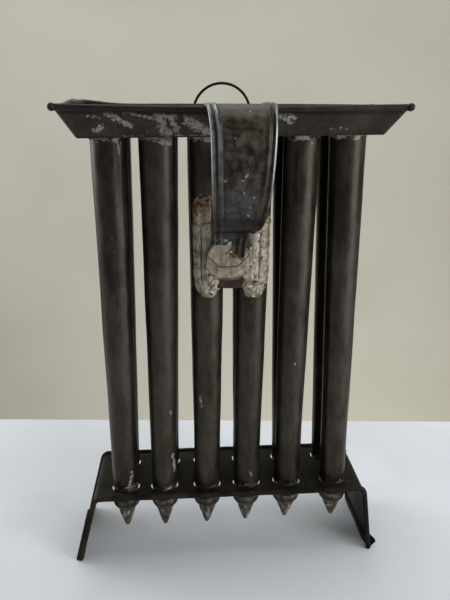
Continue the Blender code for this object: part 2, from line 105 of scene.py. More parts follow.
class Surface:
    """A procedural material under construction, with short ways to add its nodes."""

    def __init__(self, name):
        self.material = bpy.data.materials.new(name)
        self.material.use_nodes = True
        self.tree = self.material.node_tree
        self.shader = self.tree.nodes["Principled BSDF"]
        self.place = self.tree.nodes.new("ShaderNodeTexCoord").outputs["Object"]

    def link(self, value, socket):
        if isinstance(value, bpy.types.NodeSocket):
            self.tree.links.new(value, socket)
        elif isinstance(value, tuple):
            socket.default_value = (*value, 1.0)
        else:
            socket.default_value = value

    def grain(self, size, detail=4.0, roughness=0.6, stretch=None):
        """Noise with spots about size millimetres wide, stretched along Z when asked."""
        node = self.tree.nodes.new("ShaderNodeTexNoise")
        place = self.place
        if stretch:
            mapping = self.tree.nodes.new("ShaderNodeMapping")
            mapping.inputs["Scale"].default_value = stretch
            self.tree.links.new(place, mapping.inputs["Vector"])
            place = mapping.outputs["Vector"]
        self.tree.links.new(place, node.inputs["Vector"])
        node.inputs["Scale"].default_value = 1 / (size * MM)
        node.inputs["Detail"].default_value = detail
        node.inputs["Roughness"].default_value = roughness
        return node.outputs["Fac"]

    def math(self, operation, one, two=0.0, third=0.0):
        node = self.tree.nodes.new("ShaderNodeMath")
        node.operation = operation
        for socket, value in zip(node.inputs, (one, two, third)):
            self.link(value, socket)
        return node.outputs["Value"]

    def total(self, *terms, base=0.0):
        """A base value plus other values, each times its weight."""
        for value, weight in terms:
            base = self.math("MULTIPLY_ADD", value, weight, base)
        return base

    def steps(self, value, low, high, start=0.0, end=1.0):
        """Smooth step of a value from start at low to end at high."""
        node = self.tree.nodes.new("ShaderNodeMapRange")
        node.interpolation_type = "SMOOTHSTEP"
        for socket, number in zip(node.inputs, (value, low, high, start, end)):
            self.link(number, socket)
        return node.outputs["Result"]

    def mix(self, share, one, two, blend="MIX"):
        node = self.tree.nodes.new("ShaderNodeMix")
        node.data_type = "RGBA"
        node.blend_type = blend
        self.link(share, node.inputs[0])
        self.link(one, node.inputs[6])
        self.link(two, node.inputs[7])
        return node.outputs[2]

    def layers(self, colour, *covers):
        """A colour with others laid over it, each by its mask and strength."""
        for mask, strength, cover in covers:
            colour = self.mix(self.math("MULTIPLY", mask, strength), colour, cover)
        return colour

    def mark(self, name):
        """The strength of a mark laid on the mesh, read from the attribute of that name."""
        node = self.tree.nodes.new("ShaderNodeAttribute")
        node.attribute_name = name
        return node.outputs["Fac"]

    def bump(self, height, strength, depth):
        node = self.tree.nodes.new("ShaderNodeBump")
        node.inputs["Strength"].default_value = strength
        node.inputs["Distance"].default_value = depth * MM
        self.link(height, node.inputs["Height"])
        return node.outputs["Normal"]

    def finish(self, colour, roughness, metallic, normal):
        self.link(colour, self.shader.inputs["Base Color"])
        self.link(roughness, self.shader.inputs["Roughness"])
        self.link(metallic, self.shader.inputs["Metallic"])
        self.link(normal, self.shader.inputs["Normal"])
        return self.material


OXIDE = (0.34, 0.30, 0.245)
OXIDE_DARK = (0.13, 0.115, 0.095)
RUST = (0.060, 0.026, 0.014)
WEAR_AND_HIGHLIGHT_TIN = (0.32, 0.345, 0.37)
FLUX = (0.018, 0.012, 0.008)
FLUX_TAN = (0.150, 0.092, 0.038)
SOLDER_RUST = (0.115, 0.048, 0.018)
SOLDER_BRIGHT = (0.60, 0.57, 0.50)
# Colours of the painted bluish-grey sheen on the strap.
COOL_DARK = (0.034, 0.033, 0.0325)
COOL_LIGHT = (0.064, 0.0625, 0.062)


def scaled(colour, factor):
    """The same hue, lighter or darker."""
    return tuple(min(c * factor, 0.8) for c in colour)


def aged_tin(name, dark, light, roughness=0.42, metallic=0.75, blotch=22.0, stretch=None, specular=0.5):
    """Darkened tinplate: brown-grey clouds, fine pits, and the marks laid on its meshes."""
    s = Surface(name)
    clouds = s.grain(blotch, 5.0, 0.62, stretch)
    mottle = s.grain(4.5, 4.0, 0.65, stretch)
    flecks = s.grain(1.9, 6.0, 0.78)
    pits = s.grain(0.9, 2.0, 0.5)
    specks = s.grain(1.6, 1.0, 0.4)
    tone = s.total((clouds, 0.62), (mottle, 0.38))
    broken = s.total((mottle, 0.7), (flecks, 1.8))
    stain = s.steps(s.total((s.mark("stain"), 1.0), base=broken), 1.98, 2.18)
    rust = s.steps(s.total((s.mark("rust"), 1.0), base=broken), 1.90, 2.20)
    wear_and_highlight = s.steps(s.total((mottle, 0.35), base=s.mark("wear_and_highlight")), 0.45, 0.95)
    colour = s.layers(
        s.mix(s.steps(tone, 0.38, 0.64), dark, light),
        # A painted bluish-grey sheen where the meshes mark it.
        (s.mark("cool_sheen"), 1.0, s.mix(s.steps(mottle, 0.40, 0.60), COOL_DARK, COOL_LIGHT)),
        (s.steps(flecks, 0.56, 0.70), 0.45, scaled(light, 1.7)),
        (s.steps(pits, 0.60, 0.74), 0.5, scaled(dark, 0.35)),
        (s.steps(specks, 0.79, 0.81), 0.5, OXIDE),
        (stain, 0.9, s.mix(s.steps(flecks, 0.40, 0.62), OXIDE_DARK, OXIDE)),
        (rust, 0.85, RUST),
        # Worn tin, brighter and smoother; on the strap it is also a painted highlight.
        (wear_and_highlight, 0.85, WEAR_AND_HIGHLIGHT_TIN),
        # Darkening laid by the meshes: dirt in places, and painted shade in creases, grooves and under the
        # rims.
        (s.mark("grime_and_shade"), 1.0, scaled(dark, 0.2)),
    )
    gloss = s.steps(tone, 0.35, 0.65, roughness - 0.06, roughness + 0.10)
    gloss = s.total((stain, 0.22), (wear_and_highlight, -0.07), base=gloss)
    metal = s.total((stain, -0.45), base=metallic)
    relief = s.total((mottle, 0.5), (pits, 0.25), (stain, 0.5))
    relief = s.math("MULTIPLY", relief, s.total((wear_and_highlight, -0.95), base=1.0))
    s.shader.inputs["Specular IOR Level"].default_value = specular
    return s.finish(colour, gloss, metal, s.bump(relief, 0.35, 0.25))


def wiped_solder(name, light, shade):
    """Dull, lumpy solder with brown flux along its edges, and flux colour in its hollows that is partly
    painted shade.
    """
    s = Surface(name)
    clouds = s.grain(7.0, 5.0, 0.6)
    crumbs = s.grain(1.5, 5.0, 0.75)
    pits = s.grain(0.8, 3.0, 0.6)
    drag = s.grain(2.2, 4.0, 0.6, (1.6, 1.6, 0.35))
    cracks = s.grain(3.2, 6.0, 0.72, (1.0, 1.0, 0.6))
    broken = s.total((clouds, 0.6), (crumbs, 0.9))
    tan = s.steps(s.total((s.mark("edge"), 1.0), base=broken), 1.05, 1.45)
    rust = s.steps(s.total((s.mark("rust"), 1.0), base=broken), 1.10, 1.45)
    bright = s.steps(s.total((crumbs, 0.6), base=s.mark("wear_and_highlight")), 0.70, 1.10)
    hollow = s.steps(s.total((crumbs, 0.5), base=s.mark("grime_and_shade")), 0.55, 0.95)
    colour = s.layers(
        s.mix(s.steps(clouds, 0.36, 0.62), shade, light),
        (s.steps(drag, 0.50, 0.70), 0.55, scaled(shade, 0.5)),
        (s.steps(crumbs, 0.60, 0.74), 0.5, scaled(light, 1.5)),
        (s.steps(pits, 0.62, 0.68), 0.9, FLUX),
        (s.steps(cracks, 0.34, 0.28), 0.9, FLUX),
        (tan, 0.75, FLUX_TAN),
        (bright, 0.8, SOLDER_BRIGHT),
        (rust, 0.9, SOLDER_RUST),
        (hollow, 1.0, FLUX),
    )
    relief = s.total((clouds, 0.6), (pits, 0.35), (drag, 0.5), (crumbs, 0.5))
    return s.finish(colour, s.steps(clouds, 0.3, 0.7, 0.42, 0.60), 0.5, s.bump(relief, 0.7, 0.4))


TUBE_TIN = aged_tin("tube_tin", (0.023, 0.0165, 0.0105), (0.060, 0.050, 0.0385), 0.37, stretch=(1, 1, 0.4))
TIP_TIN = aged_tin("tip_tin", (0.019, 0.0135, 0.009), (0.150, 0.126, 0.094), 0.5, 0.6, 4.0)
TRAY_TIN = aged_tin("tray_tin", (0.018, 0.0130, 0.0083), (0.045, 0.0365, 0.0265), 0.46, 0.65, 14.0)
# The stand's tin is near black: painted shade for the plate and legs under the tubes.
SHADED_STAND_TIN = aged_tin("stand_tin", (0.004, 0.0031, 0.002), (0.030, 0.0235, 0.0165), 0.54, 0.22, specular=0.10)
STRAP_TIN = aged_tin("strap_tin", (0.024, 0.0172, 0.0112), (0.082, 0.068, 0.0525), 0.40, 0.72, 9.0)
IRON_WIRE = aged_tin("iron_wire", (0.006, 0.005, 0.004), (0.014, 0.012, 0.010), 0.5, 0.6, specular=0.3)
SOLDER = wiped_solder("solder", (0.37, 0.325, 0.255), (0.165, 0.130, 0.088))
TAN_SOLDER = wiped_solder("tan_solder", (0.34, 0.27, 0.18), (0.11, 0.08, 0.048))


# ---- Mesh helpers ----

def wobble(points, size, seed=0.0):
    """Smooth noise from -1 to 1 at each point, with bumps about size millimetres wide."""
    flat = points.reshape(-1, 3) / size + seed
    return np.array([noise.noise(p) for p in flat.tolist()]).reshape(points.shape[:-1])


def smoothstep(value, low, high):
    share = np.clip((value - low) / (high - low), 0, 1)
    return share * share * (3 - 2 * share)


def hill(value, top, width):
    """1 where a value is at the top, falling smoothly to nothing a few widths away."""
    return np.exp(-(((value - top) / width) ** 2))


def full_turn(count):
    """Evenly spaced angles round a circle."""
    return 2 * np.pi * np.arange(count) / count


def outward(angle):
    """Level directions at angles from straight ahead, towards the right."""
    return np.stack([np.sin(angle), -np.cos(angle), np.zeros_like(angle)], axis=-1)


def directions(path):
    """The way a path runs at each of its points."""
    forward = np.gradient(path, axis=0)
    return forward / np.linalg.norm(forward, axis=1)[:, None]


def smear(points, capsules):
    """How strongly capsule-shaped smears cover points seen from the front.

    Each smear is (x0, z0, x1, z1, radius, strength).
    """
    flat = points[..., [0, 2]]
    total = np.zeros(points.shape[:-1])
    for x0, z0, x1, z1, radius, strength in capsules:
        start = np.array([x0, z0])
        run = np.array([x1, z1]) - start
        share = np.clip(((flat - start) @ run) / max(run @ run, 1e-6), 0, 1)
        gap = np.linalg.norm(flat - start - share[..., None] * run, axis=-1)
        total = np.maximum(total, strength * hill(gap, 0.0, radius))
    return total


def shell(outer, inner, wrap=False):
    """Closed sheet between two grids of points; wrap joins the last column to the first."""
    rows, columns = outer.shape[:2]
    face = np.arange(rows * columns).reshape(rows, columns)
    back = face + rows * columns
    faces = []
    across = [(c, (c + 1) % columns) for c in range(columns if wrap else columns - 1)]
    for c, d in across:
        for r in range(rows - 1):
            faces.append((face[r, c], face[r, d], face[r + 1, d], face[r + 1, c]))
            faces.append((back[r, c], back[r + 1, c], back[r + 1, d], back[r, d]))
        faces.append((face[0, c], back[0, c], back[0, d], face[0, d]))
        faces.append((face[-1, c], face[-1, d], back[-1, d], back[-1, c]))
    if not wrap:
        for r in range(rows - 1):
            faces.append((face[r, 0], face[r + 1, 0], back[r + 1, 0], back[r, 0]))
            faces.append((face[r, -1], back[r, -1], back[r + 1, -1], face[r + 1, -1]))
    points = np.concatenate([outer.reshape(-1, 3), inner.reshape(-1, 3)])
    return points, [tuple(int(i) for i in f) for f in faces]


def skin(rings, closed=False):
    """Solid skin through rings of points, with its ends capped or, when closed, joined."""
    rows, columns = rings.shape[:2]
    index = np.arange(rows * columns).reshape(rows, columns)
    faces = []
    for r in range(rows if closed else rows - 1):
        s = (r + 1) % rows
        for c in range(columns):
            d = (c + 1) % columns
            faces.append((index[r, c], index[r, d], index[s, d], index[s, c]))
    if not closed:
        faces += [tuple(index[0][::-1]), tuple(index[-1])]
    return rings.reshape(-1, 3), [tuple(int(i) for i in f) for f in faces]


def rod(path, radius, across, sides=16, rough=0.06, lap=0.0, closed=False, seed=0.0):
    """A round bar along a flat path; across is square to the path's plane.

    lap is how much the radius grows round the bar, to the step where a rolled sheet ends.
    """
    path = np.asarray(path, float)
    across = np.asarray(across, float)
    radius = np.broadcast_to(np.asarray(radius, float), len(path)).copy()
    if closed:
        forward = np.roll(path, -1, 0) - np.roll(path, 1, 0)
        forward /= np.linalg.norm(forward, axis=1)[:, None]
    else:
        forward = directions(path)
    if not closed:                          # round ends
        turns = np.radians([72, 50, 28])
        head = path[0] - forward[0] * (radius[0] * np.sin(turns))[:, None]
        tail = path[-1] + forward[-1] * (radius[-1] * np.sin(turns[::-1]))[:, None]
        path = np.concatenate([head, path, tail])
        radius = np.concatenate([radius[0] * np.cos(turns), radius, radius[-1] * np.cos(turns[::-1])])
        forward = np.concatenate([np.repeat(forward[:1], 3, 0), forward, np.repeat(forward[-1:], 3, 0)])
    side = np.cross(forward, across)
    turn = full_turn(sides)
    rings = (np.cos(turn)[None, :, None] * across + np.sin(turn)[None, :, None] * side[:, None, :])
    size = radius[:, None] * (1 + lap * np.arange(sides)[None, :] / sides)
    rings = path[:, None, :] + rings * size[..., None]
    spread = rings - path[:, None, :]
    spread /= np.linalg.norm(spread, axis=-1)[..., None]
    rings = rings + spread * (rough * wobble(rings, 5.0, seed))[..., None]
    return skin(rings, closed)


def piece(name, bodies, surface, nodes=(), body="mould", marks=None, sheet=0.0, warp=None, sharp=38):
    """One object from bodies in millimetres, placed in the frame, with the CAD nodes it stands for hidden."""
    verts, faces, start = [], [], 0
    for points, polygons in bodies:
        verts.append(points)
        faces += [tuple(i + start for i in polygon) for polygon in polygons]
        start += len(points)
    points = np.concatenate(verts)
    mesh = bpy.data.meshes.new(name)
    mesh.from_pydata(points.tolist(), [], faces)
    built = bpy.data.objects.new(name, mesh)
    bpy.context.scene.collection.objects.link(built)
    clean = bmesh.new()
    clean.from_mesh(mesh)
    if sheet:                               # the plates' cells are made one by one
        bmesh.ops.remove_doubles(clean, verts=clean.verts, dist=WELD)
    bmesh.ops.recalc_face_normals(clean, faces=clean.faces)
    clean.to_mesh(mesh)
    clean.free()
    if sheet:
        solid = built.modifiers.new("sheet", "SOLIDIFY")
        solid.thickness = sheet
        solid.offset = 0
        solid.use_even_offset = True
        solved = built.evaluated_get(bpy.context.evaluated_depsgraph_get())
        mesh = bpy.data.meshes.new_from_object(solved)
        built.modifiers.clear()
        built.data = mesh
    points = np.array([v.co for v in mesh.vertices], float).reshape(-1, 3)
    for mark, strength in (marks or {}).items():
        layer = mesh.attributes.new(mark, "FLOAT", "POINT")
        layer.data.foreach_set("value", np.asarray(strength(points), np.float32))
    if warp:
        points = warp(points)
    mesh.vertices.foreach_set("co", (points * MM + ORIGIN).astype(np.float32).ravel())
    mesh.update()
    mesh.shade_smooth()
    mesh.set_sharp_from_angle(angle=math.radians(sharp))
    mesh.materials.clear()
    mesh.materials.append(surface)
    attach(built, body)
    if nodes:
        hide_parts(*nodes)
    return built


def line(start, end, count):
    """Evenly spaced points on a straight line."""
    return np.linspace(np.asarray(start, float), np.asarray(end, float), count)


def fillet(corners, radius, steps=8):
    """A flat polyline with round corners and a point every few millimetres."""
    corners = [np.array(c, float) for c in corners]
    path = [corners[0]]
    for before, corner, after in zip(corners, corners[1:], corners[2:]):
        one = (before - corner) / np.linalg.norm(before - corner)
        two = (after - corner) / np.linalg.norm(after - corner)
        half = math.acos(np.clip(one @ two, -1, 1)) / 2
        bisector = (one + two) / np.linalg.norm(one + two)
        centre = corner + bisector * radius / math.sin(half)
        first = corner + one * radius / math.tan(half) - centre
        last = corner + two * radius / math.tan(half) - centre
        sweep = math.atan2(first[0] * last[1] - first[1] * last[0], first @ last)
        for i in range(steps + 1):
            turn = sweep * i / steps
            path.append(centre + np.array([
                first[0] * math.cos(turn) - first[1] * math.sin(turn),
                first[0] * math.sin(turn) + first[1] * math.cos(turn),
            ]))
    return np.array(path + [corners[-1]])


def travel(path):
    """Distance along a path at each of its points."""
    return np.concatenate([[0], np.cumsum(np.linalg.norm(np.diff(path, axis=0), axis=1))])


def resample(path, distances):
    """Points at given distances along a path."""
    run = travel(path)
    return np.stack([np.interp(distances, run, path[:, k]) for k in range(path.shape[1])], axis=1)


def every(path, step):
    """The same path with a point about every step millimetres."""
    length = travel(path)[-1]
    return resample(path, np.linspace(0, length, max(2, int(length / step))))


# ---- Tubes, tips and their solder ----

def tube_ends(row, number):
    """Axis points and outer radii at the top and the bottom of a tube, measured on its CAD solid."""
    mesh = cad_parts[f"tube_{row}_{number}"].data
    points = (np.array([v.co for v in mesh.vertices], float) - ORIGIN) / MM
    ends = []
    for level in (points[:, 2].max(), points[:, 2].min()):
        ring = points[np.abs(points[:, 2] - level) < 1.0]
        middle = (ring.max(0) + ring.min(0)) / 2
        ends.append((middle, np.ptp(ring[:, 1]) / 2))
    return ends


TUBES = {(row, n): tube_ends(row, n) for row in ROWS for n in range(1, PER_ROW + 1)}


def tube_at(key, z):
    """Centre and outer radius of a tube at heights z."""
    (top, top_r), (foot, foot_r) = TUBES[key]
    share = (np.asarray(z, float) - foot[2]) / (top[2] - foot[2])
    centre = foot + (top - foot) * share[..., None]
    return centre, foot_r + (top_r - foot_r) * share


# Lapped seams of the front tubes, in degrees from straight ahead; the back tubes' mirror them
SEAMS = {1: 38.0, 2: 52.0, 3: -75.0, 4: -60.0, 5: 80.0, 6: -52.0}
LAP_DEGREES = 24.0
LAP_STEP = 0.30
TUBE_INSET = 0.55                           # how far the inside lies under the outside

TUBE_STAINS = (
    (-70, 299, -69.6, 288, 1, 0.86), (-76, 299.5, -68, 299, 1.3, 0.9), (-56, 299.6, -38, 298.8, 1.5, 0.95),
    (-44, 297.6, -37.5, 296.2, 1.9, 0.9), (18, 299, 24, 298.5, 1.4, 0.85),
    (-21.5, 126, -20.5, 118, 1.2, 0.9), (-42, 115, -41.5, 112, 1.3, 0.9), (-70.4, 68, -72.8, 57, 2, 0.82),
    (-76, 55.5, -69, 55.5, 1.6, 0.9), (-41.2, 80, -40.4, 66, 2.2, 0.80), (14, 66, 15, 62, 1.4, 0.74),
    (44, 150, 44.5, 148, 1.2, 0.85),
)
TUBE_RUST = (
    (-49, 90, -39, 99, 2.2, 1.1), (-38, 133, -38, 130, 1.5, 0.9), (-31.5, 230, -30.5, 205, 3, 0.7),
    (50, 102, 60, 105, 4, 0.6), (66, 292, 84, 290, 5, 0.7),
)


def in_front(points):
    """1 on the side of the mould that faces the handle, 0 behind it."""
    return (points[..., 1] < ROWS["front"]).astype(float)


def tube(key):
    """A tapered tube with a lapped seam, slight dents and the marks of its solder."""
    row, number = key
    (top, _), (foot, _) = TUBES[key]
    columns, rows = 64, 150 if row == "front" else 60
    z = np.linspace(foot[2], top[2], rows)
    centre, radius = tube_at(key, z)
    turn = full_turn(columns)
    seam = math.radians(SEAMS[number] if row == "front" else 180 - SEAMS[number])
    around = (turn - seam) % (2 * np.pi)    # 0 at the lap's edge, growing away from it
    lap = LAP_STEP * np.clip(1 - around / math.radians(LAP_DEGREES), 0, 1)
    lap[around >= 2 * np.pi - 1e-3] = LAP_STEP
    out = outward(turn)
    base = centre[:, None, :] + out[None] * radius[:, None, None]
    seed = 3.7 * number + (0 if row == "front" else 50)
    dents = 0.22 * wobble(base * (1, 1, 0.5), 16.0, seed) + 0.05 * wobble(base, 4.0, seed)
    outer = base + out[None] * (dents + lap[None])[..., None]
    inner = base + out[None] * (dents - TUBE_INSET)[..., None]

    def stain(points):
        near_foot = 0.70 * hill(points[:, 2], 54, 4.0)
        near_top = 0.60 * hill(points[:, 2], 299, 3.0)
        return np.maximum.reduce([near_foot, near_top, 1.2 * smear(points, TUBE_STAINS) * in_front(points)])

    def rust(points):
        return smear(points, TUBE_RUST) * in_front(points)

    piece(f"tube_{row}_{number}_skin", [shell(outer, inner, wrap=True)], TUBE_TIN,
          [f"tube_{row}_{number}"], marks={"stain": stain, "rust": rust}, warp=tray_warp)


TIP_PROFILE = (                             # radius and height of the outside, from the collar's lip down
    (9.55, 44.2), (9.8, 43.6), (9.75, 40.6), (9.6, 39.4), (9.1, 38.2), (8.2, 37.0),
    (7.3, 36.0), (6.6, 34.6), (5.2, 30.4), (3.6, 25.6), (2.2, 21.6), (1.5, 20.2), (1.1, 19.6),
)
WICK_HOLE_R = 0.8
TIP_INSIDE = ((WICK_HOLE_R, 19.9), (2.0, 23.4), (6.2, 35.2), (9.0, 39.6), (9.05, 44.0))
TIP_LIFT = {1: -0.6, 2: -1.0, 3: -0.3, 4: 0.6, 5: 2.0, 6: 1.9}      # of the front cones' points


def tip(key):
    """The soldered cone under a tube, with a rolled collar, a round shoulder and a wick hole."""
    row, number = key
    out = outward(full_turn(40))
    seed = 11.3 * number + (0 if row == "front" else 70)

    def rings(outline, rough):
        centre, _ = tube_at(key, outline[:, 1])
        base = centre[:, None, :] + out[None] * outline[:, 0][:, None, None]
        base[..., 2] = outline[:, 1][:, None]
        lumps = wobble(base, 5.5, seed) + 0.5 * wobble(base, 2.2, seed)
        share = np.clip(outline[:, 0] / 6, 0.2, 1)[:, None]
        return base + out[None] * (rough * lumps * share)[..., None]

    both = np.concatenate([rings(every(np.array(TIP_PROFILE), 0.7), 0.32), rings(np.array(TIP_INSIDE), 0.0)])
    if row == "front":
        both[..., 2] += TIP_LIFT[number] * smoothstep(both[..., 2], 36.0, 20.0)
    points, faces = skin(both, closed=True)

    def streaks(p):
        return 0.62 * smoothstep(p[:, 2], 39.5, 33.0) + 0.95 * wobble(p * (1, 1, 0.3), 2.2, seed)

    def shoulder(p):
        return 0.75 * hill(p[:, 2], 39.6, 1.6) + 0.55 * smoothstep(p[:, 2], 23.0, 19.0)

    piece(f"tip_{row}_{number}_skin", [(points, faces)], TIP_TIN,
          [f"tip_{row}_{number}"], marks={"stain": streaks, "grime_and_shade": shoulder})


def solder_ring(key, z, rise, width, seed):
    """An uneven fillet of solder round a tube, against the sheet at height z; rise is down when negative."""
    columns = 48
    out = outward(full_turn(columns))
    centre, radius = tube_at(key, np.array([z]))
    uneven = wobble(out * 9 + centre[0], 5.0, seed)
    fine = wobble(out * 9 + centre[0], 1.6, seed)
    tall = rise * np.clip(0.9 + 1.5 * uneven + 0.9 * fine, 0.2, 2.6)
    wide = width * np.clip(1 + 0.7 * uneven - 0.4 * fine, 0.3, 2.0)
    section = ((-0.3, 0.0), (1.0, 0.0), (0.85, 0.12), (0.42, 0.36), (0.2, 0.7), (0.05, 1.0), (-0.3, 1.0))
    rings = []
    for across, up in section:
        reach = across * wide if across > 0 else np.full(columns, across)
        ring = centre[0] + out * (radius[0] + reach)[:, None]
        ring[:, 2] = z + up * tall
        rings.append(ring)
    return skin(np.array(rings), closed=True)


def tube_solder():
    """Fillets under and over the tray's floor, and smaller ones on the stand's plate."""
    for row in ROWS:
        keys = [(row, n) for n in range(1, PER_ROW + 1)]
        top = [solder_ring(key, FLOOR_Z - SHEET / 2, -2.1, 1.0, 2.3 * key[1]) for key in keys]
        top += [solder_ring(key, FLOOR_Z + SHEET / 2, 0.6, 1.7, 5.1 * key[1]) for key in keys]
        piece(f"tray_solder_{row}", top, TAN_SOLDER, marks={
            "grime_and_shade": lambda p: 0.38 + 0.8 * wobble(p, 4.5, 4.0)}, warp=tray_warp)
        foot = [solder_ring(key, PLATE_Z + 1.2, 1.5, 0.5, 3.7 * key[1]) for key in keys]
        piece(f"stand_solder_{row}", foot, TAN_SOLDER, marks={
            "grime_and_shade": lambda p: 0.80 + 0.9 * wobble(p, 4.5, 9.0)})


# ---- Plates with a hole for each tube ----

def holed_plate(level, grow_x, grow_y, half_y, past):
    """Flat points and faces of a plate with an oval hole for each tube.

    past holds the X of its left and right ends, beyond the outer tubes' cells.
    """
    side, rings = 8, 5
    points, faces = [], []
    for row in ROWS:
        low, high = (-half_y, 0.0) if row == "front" else (0.0, half_y)
        for number in range(1, PER_ROW + 1):
            left = (number - 1 - PER_ROW / 2) * PITCH
            centre, radius = tube_at((row, number), np.array([level]))
            corners = np.array([(left, low), (left + PITCH, low), (left + PITCH, high), (left, high)])
            edge = np.concatenate([
                line(corners[k], corners[(k + 1) % 4], side + 1)[:-1] for k in range(4)])
            angle = np.arctan2(edge[:, 1] - corners[:, 1].mean(), edge[:, 0] - corners[:, 0].mean())
            hole = centre[0, :2] + np.stack([
                (radius[0] + grow_x) * np.cos(angle), (radius[0] + grow_y) * np.sin(angle)], axis=1)
            start = len(points)
            for ring in range(rings + 1):
                share = (ring / rings) ** 1.4
                points += (hole * (1 - share) + edge * share).tolist()
            count = len(edge)
            for ring in range(rings):
                for c in range(count):
                    d = (c + 1) % count
                    one, two = start + ring * count, start + (ring + 1) * count
                    faces.append((one + c, two + c, two + d, one + d))
    for sign, reach in zip((-1, 1), past):
        edge_x = sign * PITCH * PER_ROW / 2
        columns = max(2, int(abs(reach - edge_x) / 2.0))
        start = len(points)
        across = np.linspace(-half_y, half_y, 2 * side + 1)
        for x in np.linspace(edge_x, reach, columns + 1):
            points += [(x, y) for y in across]
        wide = len(across)
        for c in range(columns):
            for r in range(wide - 1):
                a = start + c * wide + r
                faces.append((a, a + wide, a + wide + 1, a + 1))
    return np.array(points, float), faces


# ---- Pouring tray ----

def tray_warp(points):
    """The tray's age: rims sagging in the middle, a floor a little out of level and a corner bent up."""
    points = points.copy()
    x, y, z = points[:, 0], points[:, 1], points[:, 2]
    high = smoothstep(z, 300.0, 318.0)
    near = smoothstep(z, 255.0, 300.0)
    sag = -1.25 * (1 - (x / RIM_HALF[0]) ** 2) * np.clip(-y / 39.6, -0.4, 1) * high
    tilt = near * (1 - high) * (0.15 + 1.0 * x / 95)
    reach = np.hypot((x + 104) / 21, (y - 40) / 30)
    corner = 3.2 * np.exp(-reach ** 2) * high
    wave = 0.35 * wobble(points * (1, 1, 0.3), 38.0, 8.0) * high
    points[:, 2] += sag + tilt + corner
    points[:, 1] += wave * 1.3
    points[:, 0] += wave * 0.6
    return points


CORNER_STEPS = 5
SIDE_STEPS = (220, 30)                      # along a long wall and along an end wall


def tray_loop(half, corner):
    """A rounded rectangle, corner by corner, anticlockwise from the front left."""
    signs = ((-1, -1), (1, -1), (1, 1), (-1, 1))
    centres = [np.array([sx * (half[0] - corner), sy * (half[1] - corner)]) for sx, sy in signs]
    path = []
    for k, centre in enumerate(centres):
        start = math.radians(180 + 90 * k)
        for i in range(CORNER_STEPS + 1):
            turn = start + math.radians(90) * i / CORNER_STEPS
            path.append(centre + corner * np.array([math.cos(turn), math.sin(turn)]))
        turn = start + math.radians(90)
        last = centres[(k + 1) % 4] + corner * np.array([math.cos(turn), math.sin(turn)])
        path += line(path[-1], last, SIDE_STEPS[k % 2] + 1)[1:-1].tolist()
    return np.array(path, float)


TRAY_STAINS = (
    (-74.5, 315.5, -69, 312.5, 4.2, 0.92), (-69, 312, -61.5, 308.6, 3.6, 0.96),
    (-70, 316.2, -58, 315.6, 1.5, 0.95), (-83, 305.6, -79, 307.6, 3.2, 1),
    (-60, 315.4, -47.5, 312.6, 1.7, 1.05), (-86, 313.8, -79, 313, 1.5, 0.9),
    (-46.5, 314.8, -34, 313.6, 2.6, 1), (-44, 313, -40, 303.5, 5.6, 1.06), (-38, 312, -34.5, 306, 4.6, 0.92),
    (-27.5, 311, -15, 304, 5.6, 1.02), (-24, 313, -19, 306, 4.2, 1), (25.5, 317, 34.5, 310.5, 4, 0.96),
    (29, 317.2, 37, 313.2, 2.4, 0.95), (-52, 304.5, -50, 304, 1.4, 0.9), (60, 306, 70, 305, 3.4, 0.72),
    (-44, 302.3, -18, 302.2, 1, 0.95), (-66, 302, -54, 302.2, 0.9, 0.85),
)
TRAY_RUST = (
    (80, 314.2, 82, 313.2, 2.6, 1.15), (-70.5, 308, -70, 303.5, 3.4, 0.95),
    (-26, 315.5, -18, 312.5, 4, 0.95), (-47, 311, -44, 309, 2, 0.9),
)


def tray():
    """The pan: a floor with twelve holes and one folded wall, flared on all four sides."""
    def walls(offset):
        rows = []
        for t in np.linspace(0, 1, 24):
            half = TRAY_HALF + (RIM_HALF - TRAY_HALF) * t + offset
            loop = tray_loop(half, 2.2 + offset + 1.0 * t)
            rows.append(np.column_stack([loop, np.full(len(loop), FLOOR_Z + (RIM_Z - FLOOR_Z) * t)]))
        return np.array(rows)

    outer, inner = walls(SHEET / 2), walls(-SHEET / 2)
    outside = np.repeat([1.0, 0.0], outer.shape[0] * outer.shape[1])

    def stain(points):
        front = (points[:, 1] < -28) * outside
        corners = np.minimum(np.abs(np.abs(points[:, 0]) - 94 - (points[:, 2] - 301) * 0.72), 9)
        ends = (np.abs(points[:, 1]) > 29) * 0.35 * hill(corners, 0.0, 2.5) * (1 - front)
        return np.maximum(smear(points, TRAY_STAINS) * front, 1.8 * ends)

    def rust(points):
        return smear(points, TRAY_RUST) * (points[:, 1] < -28) * outside

    def grime_and_shade(points):
        # Painted shade: a dark band on the front wall under its rim roll, and along the crease where the
        # walls meet the floor.
        hem = 0.8 * (points[:, 1] < -28) * smoothstep(points[:, 2], 313.8, 316.0)
        return np.maximum(hem, 0.55 * hill(points[:, 2], FLOOR_Z, 1.1))

    piece("tray_walls", [shell(outer, inner, wrap=True)], TRAY_TIN,
          ["tray_front_wall", "tray_back_wall", "tray_left_end", "tray_right_end"],
          marks={"stain": stain, "rust": rust, "grime_and_shade": grime_and_shade}, warp=tray_warp)

    reach = TRAY_HALF[0] - 0.5
    flat, faces = holed_plate(FLOOR_Z, 0.1, 0.1, TRAY_HALF[1] - 0.5, (-reach, reach))
    points = np.column_stack([flat, np.full(len(flat), FLOOR_Z)])
    piece("tray_floor_sheet", [(points, faces)], TRAY_TIN, ["tray_floor"],
          marks={"stain": lambda p: 0.30 + 0.35 * wobble(p, 14.0, 2.0)}, sheet=SHEET, warp=tray_warp)


